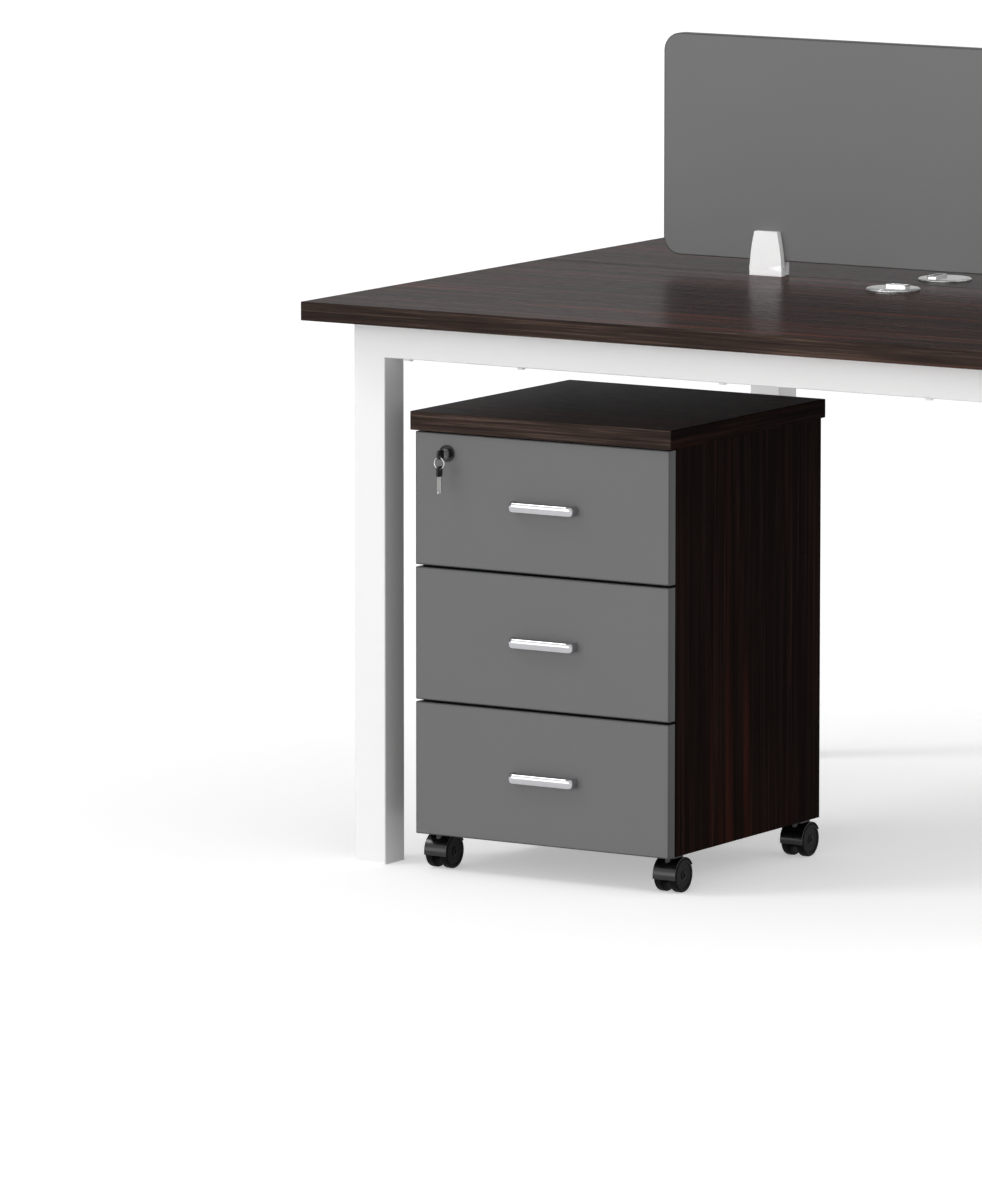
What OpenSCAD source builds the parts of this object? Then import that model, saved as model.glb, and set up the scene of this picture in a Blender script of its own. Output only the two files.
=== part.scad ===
// Double-sided office workstation: two dark wood worktops on one white steel frame,
// a grey divider screen held by clips, two cable grommets and a mobile three-drawer
// pedestal on twin-wheel castors.
// Origin: on the floor under the middle of the workstation. +X runs to the right along
// the front edge, +Y from the front user to the rear user, +Z up. Millimetres.

/* [Worktops] */
// Width of both worktops
desk_w = 1200; // [1150:10:1600]
// Depth over both worktops
desk_d = 1200; // [1150:10:1500]
// Height of the worktop surface
desk_h = 750; // [720:1:800]
// Thickness of a worktop
worktop_t = 25; // [18:1:30]
// Seam between the two worktops
seam = 4; // [4:0.5:8]

/* [Frame] */
// Side of the square leg tube
leg_w = 48; // [40:1:60]
// Wall of the steel tubes
tube_wall = 2; // [1.5:0.5:3]
// Outer corner radius of the steel tubes
tube_r = 2; // [1:0.5:3]
// Height of the rails
rail_h = 50; // [40:1:60]
// Depth of the rails
rail_d = 25; // [22:1:40]
// Width of the centre beam under the seam
beam_w = 48; // [40:1:60]
// Leg set in from the end of the worktop
leg_inset_x = 43; // [20:1:60]
// Leg set in from the user's edge of the worktop
leg_inset_y = 62; // [30:1:90]
// Thickness of the plastic cap under a leg
end_cap_t = 2; // [1.5:0.5:5]
// Height of the cap's plug inside the leg
end_cap_plug_h = 15; // [8:1:25]
// Length of the connector block inside a rail end
connector_l = 60; // [40:1:80]
// Radius of a connector screw
connector_screw_r = 3; // [2.5:0.5:4]
// Radius of a worktop screw
worktop_screw_r = 2.5; // [2:0.5:3]
// Depth that a worktop screw enters the worktop
worktop_screw_bite = 15; // [10:1:16]

/* [Screen] */
// Width of the divider screen
screen_w = 800; // [700:10:1100]
// Height of the divider screen
screen_h = 300; // [250:10:500]
// Thickness of the divider screen
screen_t = 16; // [12:1:25]
// Corner radius of the divider screen
screen_r = 25; // [10:1:60]
// Open gap between screen and worktop
screen_gap = 20; // [15:1:40]

/* [Screen clips] */
// Distance between the middles of the two clips
clip_span = 470; // [300:5:600]
// Height of a clip
clip_h = 60; // [50:1:80]
// Width of the clip jaw at the worktop
jaw_base_w = 50; // [45:1:60]
// Width of the clip jaw at its top
jaw_top_w = 35; // [25:1:40]
// Thickness of the clip jaw
jaw_t = 10; // [8:0.5:14]
// Width of the clip body at the worktop
clip_body_w = 40; // [36:1:44]
// Width of the clip body's rear wall at its top
clip_body_top_w = 28; // [20:1:34]
// Thickness of the clip body's rear wall
clip_wall = 4; // [3:0.5:6]
// Radius of a clip screw
clip_screw_r = 1.8; // [1.5:0.1:1.9]
// Radius of a clip screw's head
clip_head_r = 4; // [3.5:0.1:4.5]

/* [Cable grommets] */
// Middle of the grommets from the left end of the worktops
grommet_from_left = 592; // [400:1:800]
// Middle of each grommet from the seam
grommet_from_seam = 70; // [50:1:200]
// Diameter of the hole in the worktop
grommet_hole_d = 60; // [60:1:80]
// Diameter of the grommet's flange
grommet_flange_d = 72; // [72:1:95]
// Height of the flange above the worktop
flange_h = 3; // [2.5:0.5:5]
// Depth of the grommet's tube below the worktop surface
grommet_tube_h = 22; // [15:1:24]
// Length of the cable slot in the cap
slot_l = 26; // [20:1:32]
// Width of the cable slot in the cap
slot_w = 9; // [6:0.5:12]
// Height of the raised collar round the slot
collar_h = 3; // [1:0.5:5]
// Turn of the rear cap from the front one
rear_cap_turn = 90; // [0:90:270]

/* [Pedestal] */
// Width of the pedestal's drawer fronts and carcass
ped_w = 388; // [360:1:450]
// Depth of the pedestal from drawer fronts to back
ped_d = 390; // [380:1:500]
// Gap between the pedestal and the rails above it
ped_gap = 64; // [20:1:90]
// Thickness of the pedestal's top board
ped_top_t = 25; // [18:1:30]
// Thickness of the carcass panels
panel_t = 16; // [15:1:19]
// Pedestal set in from the left end of the worktops
ped_from_left = 150; // [110:1:400]
// Drawer fronts set back from the worktop's front edge
ped_from_front = 45; // [30:1:150]
// Overhang of the top board at each side
top_over_side = 5; // [0:1:12]
// Overhang of the top board over the drawer fronts
top_over_front = 6; // [0:1:15]
// Overhang of the top board at the back
top_over_back = 3; // [0:1:15]

/* [Drawers] */
// Thickness of a drawer front
front_t = 16; // [15:1:19]
// Gap between drawer fronts
front_gap = 3; // [2:0.5:5]
// Gap between the drawer fronts and the carcass
front_reveal = 2; // [1:0.5:3]
// Sheet thickness of a drawer box
drawer_wall = 1.5; // [1:0.5:3]
// Drawer box set up from the lower edge of its front
drawer_box_rise = 12; // [8:1:20]
// Drawer box set down from the upper edge of its front
drawer_box_drop = 54; // [45:1:75]
// Gap between a drawer box and the back panel
drawer_back_gap = 8; // [4:1:60]

/* [Drawer runners] */
// Gap between a drawer runner and the back panel
runner_back_gap = 14; // [8:1:60]
// Space that a runner takes between carcass and drawer
runner_t = 12.7; // [12.5:0.1:14]
// Height of a carcass runner
runner_h = 34; // [30:1:45]
// Sheet thickness of a runner
runner_wall = 1.5; // [1.2:0.1:1.8]

/* [Handles] */
// Length of a handle
handle_l = 100; // [90:1:160]
// Reach of a handle out of the drawer front
handle_reach = 18; // [16:1:35]
// Height of the handle bar
handle_h = 13; // [8:1:16]
// Thickness of the handle bar
handle_t = 5; // [4:0.5:9]
// Outer bend radius of a handle
handle_r = 9; // [7:0.5:14]
// Middle of a handle right of its drawer front's middle
handle_shift = 6; // [0:1:20]

/* [Lock and keys] */
// Lock centre from the side of the drawer front
lock_from_side = 49; // [35:1:80]
// Lock centre below the top of the drawer front
lock_from_top = 26; // [26:1:32]
// Radius of the lock's collar
lock_collar_r = 11; // [10.5:0.5:13]
// Radius of the lock's barrel
lock_barrel_r = 9; // [8:0.5:9]
// Radius of the lock's plug
lock_plug_r = 6.5; // [5.5:0.5:6.5]
// Reach of the cam from the lock's axis
cam_reach = 22; // [19:1:24]
// Length of a key's grip
key_grip_l = 14; // [13:1:24]
// Width of a key's grip
key_grip_w = 12; // [12:1:20]
// Thickness of a key's grip
key_grip_t = 2.6; // [2.2:0.1:3.4]
// Length of a key's blade
key_blade_l = 23; // [20:1:32]
// Width of a key's blade
key_blade_w = 6.5; // [6:0.5:9]
// Thickness of a key's blade
key_blade_t = 2; // [1.5:0.1:2.2]
// Radius of the key ring to the middle of its wire
ring_r = 7.5; // [6:0.5:14]
// Radius of the ring's wire
ring_wire_r = 0.7; // [0.5:0.1:0.9]

/* [Castors] */
// Diameter of a castor wheel
wheel_d = 45; // [38:1:45]
// Width of one wheel of a castor
wheel_w = 11; // [8:0.5:12]
// Width of a castor over both wheels
castor_w = 34; // [32:0.5:36]
// Thickness of the plate that holds a castor
plate_t = 2.6; // [2:0.1:4]
// Trail of the wheels behind the swivel axis
castor_trail = 12; // [8:0.5:14]
// Swivel axis from the side of the pedestal
castor_from_side = 18; // [18:1:30]
// Swivel axis behind the drawer fronts
castor_from_front = 30; // [30:1:60]
// Swivel axis in front of the pedestal's back
castor_from_back = 32; // [32:1:60]

/* [Hidden] */
$fn = 64;

wood = [0.19, 0.15, 0.14];
steel_white = [0.93, 0.93, 0.93];
clip_white = [0.92, 0.92, 0.91];
panel_grey = [0.44, 0.44, 0.44];
silver = [0.74, 0.74, 0.74];
zinc = [0.62, 0.62, 0.64];
black = [0.05, 0.05, 0.05];

// Overrun of every cut past the face that it opens
cut = 1;
// Gap between pieces that slide or turn in each other
fit = 0.1;
// Gap at which a loose piece lies from its seat
seat = 0.3;

// Frame
frame_top = desk_h - worktop_t;
frame_x = desk_w / 2 - leg_inset_x;
frame_y = desk_d / 2 - leg_inset_y;
leg_x = frame_x - leg_w / 2;
leg_y = frame_y - leg_w / 2;
rail_z = frame_top - rail_h / 2;
rail_y = frame_y - rail_d / 2;
rail_half = frame_x - leg_w;
cross_rail_x = frame_x - rail_d / 2;
cross_rail_half = frame_y - leg_w;
beam_half = frame_x - rail_d;
connector_x = rail_half - connector_l / 2;
beam_connector_x = beam_half - connector_l / 2;
screw_head_h = 3.5;
head_r_share = 2;
worktop_screw_x = rail_half * 0.6;
beam_screw_y = beam_w / 4;

// Screen and clips
screen_z = desk_h + screen_gap;
clip_x = clip_span / 2;
jaw_screw_z = desk_h + 0.55 * screen_gap;
clip_head_h = 2.5;
jaw_screw_l = jaw_t + screen_t * 0.6;
base_screw_x = 0.3 * clip_body_w;
base_screw_top = desk_h + 0.8 * screen_gap;

// Grommets
grommet_x = grommet_from_left - desk_w / 2;
liner_wall = 2;
liner_r = grommet_hole_d / 2 - seat;
liner_bore_r = liner_r - liner_wall;
flange_r = grommet_flange_d / 2;
flange_chamfer = 0.8;
cap_r = flange_r - 2.4 * liner_wall;
cap_ledge = 1;
cap_t = flange_h - cap_ledge + seat;
collar_wall = 3;
slot_y = cap_r * 0.38;

// Castors, which set the height of the carcass above the floor
wheel_r = wheel_d / 2;
axle_r = 2.5;
stem_r = 3.5;
stem_h = 16;
hood_gap = 0.6;
hood_wall = 1.2;
hood_r = wheel_r + hood_gap + hood_wall;
castor_h = wheel_r + hood_r + 2 * seat + plate_t;

// Pedestal
ped_h = desk_h - worktop_t - rail_h - ped_gap;
ped_x0 = ped_from_left - desk_w / 2;
ped_x = ped_x0 + ped_w / 2;
ped_front = ped_from_front - desk_d / 2;
ped_back = ped_front + ped_d;
carcass_front = ped_front + front_t + front_reveal;
carcass_top = ped_h - ped_top_t;
inner_half = ped_w / 2 - panel_t;
lock_rail_wall = 2;

// Drawers, counted from the lowest one
top_gap = front_reveal;
drawers = 3;
front_h = (carcass_top - top_gap - castor_h - (drawers - 1) * front_gap) / drawers;
base_clear = 6;
box_half = inner_half - runner_t;
drawer_box_d = ped_d - front_t - panel_t - drawer_back_gap;
drawer_box_h = front_h - drawer_box_rise - drawer_box_drop;
runner_l = ped_d - front_t - 2 * front_reveal - panel_t - runner_back_gap;
function front_z(n) = castor_h + n * (front_h + front_gap);
function box_z(n) = max(front_z(n) + drawer_box_rise, castor_h + panel_t + base_clear);
function runner_z(n) = box_z(n) + drawer_box_h / 2;

// Lock
lock_x = ped_x0 + lock_from_side;
lock_z = carcass_top - top_gap - lock_from_top;
collar_t = 3;
plug_proud = 1;
barrel_reach = 18.5;
cam_t = 2;
cam_gap = 2;
plug_tail_r = 4;
plug_face = ped_front - collar_t - plug_proud;
barrel_end = carcass_front + barrel_reach;
cam_y = barrel_end + cam_gap;
lock_rail_drop = lock_from_top + top_gap - lock_barrel_r - lock_rail_wall;

// Keys
key_hole_r = 2;
key_hole_edge = 4.5;
key_show = 6;
keyway_gap = 0.1;
grip_start = plug_face - key_show;
ring_y = grip_start - key_grip_l + key_hole_edge;
key_hole_drop = key_grip_w / 2 - key_hole_edge + key_hole_r / 2;
ring_top = lock_z - key_hole_drop - key_hole_r + ring_wire_r + seat;
ring_z = ring_top - ring_r;
spare_hole_z = ring_z - ring_r - (key_hole_r - ring_wire_r - seat);

// Places of the castors
plate_w = 30;
plate_d = 24;
web_w = 10;
tyre_r = 1.5;
hub_share = 0.72;
hub_dish = 0.8;
castor_y_front = ped_front + castor_from_front;
castor_y_rear = ped_back - castor_from_back;
castor_x_left = ped_x - ped_w / 2 + castor_from_side;
castor_x_right = ped_x + ped_w / 2 - castor_from_side;

// A rectangle with round corners, centred
module round_rect(w, h, r) {
    square([w, h - 2 * r], center = true);
    square([w - 2 * r, h], center = true);
    for (x = [-1, 1], y = [-1, 1])
        translate([x * (w / 2 - r), y * (h / 2 - r)]) circle(r);
}

// The section of a steel tube, centred
module tube_section(w, h) {
    difference() {
        round_rect(w, h, tube_r);
        square([w - 2 * tube_wall, h - 2 * tube_wall], center = true);
    }
}

// Stands an extruded outline up so that its own up is +Z and it runs along +Y
module along_y(l) {
    translate([0, l, 0]) rotate([90, 0, 0]) linear_extrude(l) children();
}

// Turns an extruded outline so that it runs along +X, with its own x along +Y
module along_x(l) {
    rotate([90, 0, 90]) linear_extrude(l) children();
}

// A screw with its head's underside at zero, shank up
module screw_up(r, l) {
    cylinder(r = r, h = l);
    translate([0, 0, -screw_head_h]) cylinder(r = head_r_share * r, h = screw_head_h);
}

// Places children at each worktop screw, side -1 for the front worktop
module at_rail_screws(side) {
    for (x = [-worktop_screw_x, 0, worktop_screw_x])
        translate([x, side * rail_y, frame_top - rail_h]) children();
}

module at_beam_screws(side) {
    for (x = [-worktop_screw_x, 0, worktop_screw_x])
        translate([x, side * beam_screw_y, frame_top - rail_h]) children();
}

// Places children under the middle of each connector block
module at_connectors() {
    for (x = [-1, 1]) {
        for (y = [-1, 1])
            translate([x * connector_x, y * rail_y, frame_top - rail_h]) children();
        translate([x * beam_connector_x, 0, frame_top - rail_h]) children();
    }
}

// Places children at the top of each clip's base screw, over the seam
module at_base_screws() {
    for (x = [-1, 1], s = [-1, 1])
        translate([x * clip_x + s * base_screw_x, 0, base_screw_top]) children();
}

module worktop(side) {
    depth = (desk_d - seam) / 2;
    y0 = side < 0 ? -desk_d / 2 : seam / 2;
    pilot = rail_h + worktop_screw_bite + cut;
    color(wood) difference() {
        translate([-desk_w / 2, y0, frame_top]) cube([desk_w, depth, worktop_t]);
        translate([grommet_x, side * grommet_from_seam, frame_top - cut])
            cylinder(d = grommet_hole_d, h = worktop_t + 2 * cut);
        at_rail_screws(side) cylinder(r = worktop_screw_r + fit, h = pilot);
        at_beam_screws(side) cylinder(r = worktop_screw_r + fit, h = pilot);
    }
}

module leg(sx, sy) {
    color(steel_white) translate([sx * leg_x, sy * leg_y, end_cap_t])
        linear_extrude(frame_top - end_cap_t) tube_section(leg_w, leg_w);
}

module rail(side) {
    color(steel_white) difference() {
        translate([-rail_half, side * rail_y, rail_z])
            along_x(2 * rail_half) tube_section(rail_d, rail_h);
        at_connectors() translate([0, 0, -cut])
            cylinder(r = connector_screw_r + fit, h = tube_wall + 2 * cut);
        at_rail_screws(side) translate([0, 0, -cut])
            cylinder(r = worktop_screw_r + fit, h = rail_h + 2 * cut);
    }
}

module cross_rail(side) {
    color(steel_white) translate([side * cross_rail_x, -cross_rail_half, rail_z])
        along_y(2 * cross_rail_half) tube_section(rail_d, rail_h);
}

module centre_beam() {
    color(steel_white) difference() {
        translate([-beam_half, 0, rail_z]) along_x(2 * beam_half) tube_section(beam_w, rail_h);
        at_connectors() translate([0, 0, -cut])
            cylinder(r = connector_screw_r + fit, h = tube_wall + 2 * cut);
        for (side = [-1, 1]) at_beam_screws(side) translate([0, 0, -cut])
            cylinder(r = worktop_screw_r + fit, h = rail_h + 2 * cut);
        at_base_screws() translate([0, 0, frame_top - tube_wall - cut - base_screw_top])
            cylinder(r = clip_screw_r + fit, h = tube_wall + 2 * cut);
    }
}

// A block that fills a rail end, with its screw hole from below
module connector_block(w) {
    inner_h = rail_h - 2 * tube_wall - 2 * fit;
    difference() {
        translate([-connector_l / 2, -w / 2, tube_wall + fit]) cube([connector_l, w, inner_h]);
        cylinder(r = connector_screw_r + fit, h = rail_h / 2 + cut);
    }
}

module rail_connectors() {
    rail_fill = rail_d - 2 * tube_wall - 2 * fit;
    beam_fill = beam_w - 2 * tube_wall - 2 * fit;
    color(zinc) for (x = [-1, 1]) {
        for (y = [-1, 1])
            translate([x * connector_x, y * rail_y, frame_top - rail_h])
                connector_block(rail_fill);
        translate([x * beam_connector_x, 0, frame_top - rail_h]) connector_block(beam_fill);
    }
}

module connector_screws() {
    color(zinc) at_connectors() screw_up(connector_screw_r, rail_h / 2);
}

module worktop_screws() {
    color(zinc) for (side = [-1, 1]) {
        at_rail_screws(side) screw_up(worktop_screw_r, rail_h + worktop_screw_bite);
        at_beam_screws(side) screw_up(worktop_screw_r, rail_h + worktop_screw_bite);
    }
}

module leg_end_caps() {
    plug_w = leg_w - 2 * tube_wall - 2 * fit;
    color(clip_white) for (x = [-1, 1], y = [-1, 1]) translate([x * leg_x, y * leg_y, 0]) {
        linear_extrude(end_cap_t) round_rect(leg_w, leg_w, tube_r);
        linear_extrude(end_cap_t + end_cap_plug_h) square(plug_w, center = true);
    }
}

module screen_panel() {
    color(panel_grey) translate([0, -screen_t / 2, screen_z + screen_h / 2])
        along_y(screen_t) round_rect(screen_w, screen_h, screen_r);
}

// Outline that stands on its base and narrows to its top in two shallow arcs
module clip_outline(base, top, h) {
    lean = (base - top) / 2;
    arc_r = (h * h + lean * lean) / (2 * lean);
    intersection() {
        translate([-base / 2, 0]) square([base, h]);
        translate([base / 2 - arc_r, 0]) circle(arc_r, $fn = 360);
        translate([arc_r - base / 2, 0]) circle(arc_r, $fn = 360);
    }
}

module clip_body(side) {
    back = screen_t / 2 + fit;
    color(clip_white) difference() {
        translate([side * clip_x, 0, desk_h]) {
            translate([-clip_body_w / 2, -screen_t / 2, 0])
                cube([clip_body_w, screen_t + fit + clip_wall, screen_gap]);
            translate([0, back, 0]) along_y(clip_wall)
                clip_outline(clip_body_w, clip_body_top_w, clip_h);
        }
        at_base_screws() {
            cylinder(r = clip_head_r + fit, h = screen_gap);
            translate([0, 0, -screen_gap - clip_head_h])
                cylinder(r = clip_screw_r + fit, h = screen_gap + 2 * clip_head_h);
            translate([0, 0, -clip_head_h]) cylinder(r = clip_head_r + fit, h = 2 * clip_head_h);
        }
        at_jaw_screws() rotate([-90, 0, 0])
            cylinder(r = clip_screw_r + fit, h = jaw_screw_l + cut);
    }
}

// Places children at the outer face of each clip jaw, on the screw's axis
module at_jaw_screws() {
    for (x = [-1, 1]) translate([x * clip_x, -screen_t / 2 - jaw_t, jaw_screw_z]) children();
}

module clip_jaw(side) {
    color(clip_white) difference() {
        translate([side * clip_x, -screen_t / 2 - jaw_t, desk_h]) along_y(jaw_t)
            clip_outline(jaw_base_w, jaw_top_w, clip_h);
        at_jaw_screws() rotate([-90, 0, 0]) {
            translate([0, 0, -cut]) cylinder(r = clip_screw_r + fit, h = jaw_t + 2 * cut);
            translate([0, 0, -cut]) cylinder(r = clip_head_r + fit, h = clip_head_h + cut);
        }
    }
}

module clip_screws() {
    base_screw_l = base_screw_top - frame_top + 3 * tube_wall;
    color(clip_white) {
        at_jaw_screws() rotate([-90, 0, 0]) {
            cylinder(r = clip_head_r, h = clip_head_h);
            cylinder(r = clip_screw_r, h = jaw_screw_l);
        }
        at_base_screws() {
            translate([0, 0, -clip_head_h]) cylinder(r = clip_head_r, h = clip_head_h);
            translate([0, 0, -base_screw_l]) cylinder(r = clip_screw_r, h = base_screw_l);
        }
    }
}

module grommet_liner(side) {
    color(silver) translate([grommet_x, side * grommet_from_seam, desk_h]) rotate_extrude()
        polygon([
            [liner_bore_r, -grommet_tube_h], [liner_r, -grommet_tube_h], [liner_r, 0],
            [flange_r, 0], [flange_r, flange_h - flange_chamfer],
            [flange_r - flange_chamfer, flange_h], [cap_r + fit, flange_h],
            [cap_r + fit, cap_ledge], [liner_bore_r, cap_ledge]]);
}

module grommet_cap(side, turn) {
    color(silver) translate([grommet_x, side * grommet_from_seam, desk_h + cap_ledge])
        rotate([0, 0, turn]) difference() {
            union() {
                cylinder(r = cap_r, h = cap_t);
                translate([0, slot_y, cap_t / 2]) linear_extrude(cap_t / 2 + collar_h)
                    round_rect(slot_l + 2 * collar_wall, slot_w + 2 * collar_wall, collar_wall);
            }
            translate([-slot_l / 2, slot_y - slot_w / 2, -cut])
                cube([slot_l, slot_w, cap_t + collar_h + 2 * cut]);
        }
}

module pedestal_top() {
    color(wood) translate([ped_x0 - top_over_side, ped_front - top_over_front, carcass_top])
        cube([ped_w + 2 * top_over_side, ped_d + top_over_front + top_over_back, ped_top_t]);
}

module pedestal_side(side) {
    x0 = side < 0 ? ped_x0 : ped_x0 + ped_w - panel_t;
    color(wood) translate([x0, carcass_front, castor_h])
        cube([panel_t, ped_back - carcass_front, carcass_top - castor_h]);
}

module pedestal_back() {
    color(wood) translate([ped_x - inner_half, ped_back - panel_t, castor_h])
        cube([2 * inner_half, panel_t, carcass_top - castor_h]);
}

module pedestal_base() {
    color(wood) translate([ped_x - inner_half, carcass_front, castor_h])
        cube([2 * inner_half, ped_back - panel_t - carcass_front, panel_t]);
}

// Steel angle under the top board, which the cam turns up behind
module lock_rail() {
    shelf = cam_y - cam_gap / 2 - cam_gap - carcass_front;
    color(zinc) translate([ped_x - inner_half, carcass_front, carcass_top]) {
        translate([0, 0, -lock_rail_wall]) cube([2 * inner_half, shelf, lock_rail_wall]);
        translate([0, shelf - lock_rail_wall, -lock_rail_drop])
            cube([2 * inner_half, lock_rail_wall, lock_rail_drop]);
    }
}

// Half of a carcass runner's section above its middle, web at x = 0, open towards +x
module carcass_runner_half() {
    lip = runner_h / 2 - 4 * runner_wall;
    depth = runner_t - 2 * runner_wall;
    square([runner_wall, runner_h / 2]);
    translate([0, runner_h / 2 - runner_wall]) square([depth, runner_wall]);
    translate([depth - runner_wall, lip]) square([runner_wall, runner_h / 2 - lip]);
}

// Half of a drawer runner's section, hooked behind the lips of the carcass runner
module drawer_runner_half() {
    lip = runner_h / 2 - 4 * runner_wall;
    hook_x = runner_t - 5.5 * runner_wall;
    hook_top = runner_h / 2 - runner_wall - seat;
    translate([runner_t - runner_wall, 0]) square([runner_wall, lip - seat]);
    translate([hook_x, lip - seat - runner_wall]) square([runner_t - hook_x, runner_wall]);
    translate([hook_x, lip - seat - runner_wall])
        square([runner_wall, hook_top - lip + seat + runner_wall]);
}

// A pair of runners for drawer n, the left one from its section, the right one mirrored
module runner_pair(n) {
    for (s = [-1, 1]) translate([ped_x, carcass_front + front_reveal, runner_z(n)])
        mirror([s > 0 ? 1 : 0, 0, 0]) translate([-inner_half, 0, 0])
            along_y(runner_l) {
                children();
                mirror([0, 1, 0]) children();
            }
}

module carcass_runners() {
    color(zinc) for (n = [0:drawers - 1]) runner_pair(n) carcass_runner_half();
}

module drawer_runners(n) {
    color(zinc) runner_pair(n) drawer_runner_half();
}

module drawer_front(n) {
    color(panel_grey) difference() {
        translate([ped_x0, ped_front, front_z(n)]) cube([ped_w, front_t, front_h]);
        if (n == drawers - 1)
            translate([lock_x, ped_front - cut, lock_z]) rotate([-90, 0, 0])
                cylinder(r = lock_barrel_r + fit, h = front_t + 2 * cut);
    }
}

module drawer_box(n) {
    color(zinc) translate([ped_x - box_half, ped_front + front_t, box_z(n)]) difference() {
        cube([2 * box_half, drawer_box_d, drawer_box_h]);
        translate([drawer_wall, drawer_wall, drawer_wall])
            cube([2 * (box_half - drawer_wall), drawer_box_d - 2 * drawer_wall, drawer_box_h]);
    }
}

// Outline of a handle seen from above, feet on y = 0, bow towards -y
module handle_outline() {
    inner_r = handle_r - handle_t;
    intersection() {
        translate([-handle_l / 2, -handle_reach]) square([handle_l, handle_reach]);
        difference() {
            round_rect(handle_l, 2 * handle_reach, handle_r);
            round_rect(handle_l - 2 * handle_t, 2 * (handle_reach - handle_t), inner_r);
        }
    }
}

module handle(n) {
    z0 = front_z(n) + front_h / 2 - handle_h / 2;
    color(silver) translate([ped_x + handle_shift, ped_front, z0])
        linear_extrude(handle_h) handle_outline();
}

// Places children on the lock's axis at distance y, with their own z along +Y
module on_lock(y) {
    translate([lock_x, y, lock_z]) rotate([-90, 0, 0]) children();
}

module lock_barrel() {
    color(black) difference() {
        union() {
            on_lock(ped_front - collar_t) cylinder(r = lock_collar_r, h = collar_t);
            on_lock(ped_front) cylinder(r = lock_barrel_r, h = barrel_end - ped_front);
        }
        on_lock(ped_front - collar_t - cut)
            cylinder(r = lock_plug_r + fit, h = collar_t + barrel_end - ped_front + 2 * cut);
    }
}

module lock_plug() {
    keyway_w = key_blade_w + 2 * keyway_gap;
    keyway_t = key_blade_t + 2 * keyway_gap;
    keyway_l = key_blade_l - key_show + cut;
    color(zinc) difference() {
        union() {
            on_lock(plug_face) cylinder(r = lock_plug_r, h = barrel_end - plug_face);
            on_lock(barrel_end) cylinder(r = plug_tail_r, h = cam_gap + cam_t + cut);
        }
        translate([lock_x - keyway_t / 2, plug_face - cut, lock_z - keyway_w / 2])
            cube([keyway_t, keyway_l + cut, keyway_w]);
    }
}

module lock_cam() {
    hub_r = plug_tail_r + cam_t;
    color(zinc) on_lock(cam_y) linear_extrude(cam_t) difference() {
        union() {
            circle(hub_r);
            translate([0, -plug_tail_r]) square([cam_reach - plug_tail_r, 2 * plug_tail_r]);
            translate([cam_reach - plug_tail_r, 0]) circle(plug_tail_r);
        }
        circle(plug_tail_r + fit / 2);
    }
}

// Outline of a key with the start of its blade at the origin and its grip towards -x,
// the ring's hole near the grip's far end and moved sideways by drop
module key_outline(drop) {
    grip_r = key_grip_w / 4;
    difference() {
        translate([-key_grip_l / 2, 0]) round_rect(key_grip_l, key_grip_w, grip_r);
        translate([-key_grip_l + key_hole_edge, -drop]) circle(key_hole_r);
    }
}

// A key in the plane of its blade, lying along x
module key_solid(drop) {
    tip = key_blade_w / 4;
    translate([0, 0, -key_grip_t / 2]) color(black) linear_extrude(key_grip_t) key_outline(drop);
    translate([0, 0, -key_blade_t / 2]) color(silver) linear_extrude(key_blade_t)
        polygon([[-tip, -key_blade_w / 2], [key_blade_l - tip, -key_blade_w / 2],
            [key_blade_l, -tip], [key_blade_l, tip],
            [key_blade_l - tip, key_blade_w / 2], [-tip, key_blade_w / 2]]);
}

module lock_key() {
    translate([lock_x, grip_start, lock_z]) rotate([0, 0, 90]) rotate([90, 0, 0])
        key_solid(key_hole_drop);
}

module key_ring() {
    color(silver) translate([lock_x, ring_y, ring_z]) rotate([90, 0, 0])
        rotate_extrude() translate([ring_r, 0]) circle(ring_wire_r, $fn = 24);
}

module spare_key() {
    translate([lock_x, ring_y, spare_hole_z + key_hole_edge - key_grip_l])
        rotate([0, 90, 0]) key_solid(0);
}

module castor_plates() {
    color(zinc) for (x = [castor_x_left, castor_x_right], y = [castor_y_front, castor_y_rear])
        translate([x, y, castor_h - plate_t]) {
            translate([0, 0, plate_t / 2]) cube([plate_w, plate_d, plate_t], center = true);
            translate([0, 0, -stem_h]) cylinder(r = stem_r, h = stem_h + plate_t / 2);
        }
}

// A pie slice from the back edge of the hood over its top to the front edge
module hood_slice(r) {
    front_edge = 190;
    back_edge = 30;
    steps = 8;
    reach = 1.5 * r;
    polygon(concat([[0, 0]], [for (i = [0:steps])
        let (a = back_edge + (front_edge - back_edge) * i / steps)
            [reach * cos(a), reach * sin(a)]]));
}

module castor_hood(x, y) {
    boss_r = web_w / 2 - 2 * fit;
    boss_top = hood_r + seat;
    translate([x, y + castor_trail, wheel_r]) {
        color(black) difference() {
            union() {
                translate([-web_w / 2, 0, 0]) along_x(web_w) {
                    intersection() {
                        circle(hood_r);
                        hood_slice(hood_r);
                    }
                    circle(wheel_r / 2);
                }
                translate([-castor_w / 2, 0, 0]) along_x(castor_w) intersection() {
                    difference() {
                        circle(hood_r);
                        circle(wheel_r + hood_gap);
                    }
                    hood_slice(hood_r);
                }
                translate([0, -castor_trail, 0]) cylinder(r = boss_r, h = boss_top);
            }
            translate([-web_w, 0, 0]) rotate([0, 90, 0])
                cylinder(r = axle_r + fit / 2, h = 2 * web_w);
            translate([0, -castor_trail, castor_h - plate_t - stem_h - wheel_r - fit])
                cylinder(r = stem_r + fit, h = stem_h + hood_r);
        }
        color(zinc) translate([-castor_w / 2 + tyre_r, 0, 0]) rotate([0, 90, 0])
            cylinder(r = axle_r, h = castor_w - 2 * tyre_r);
    }
}

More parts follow.
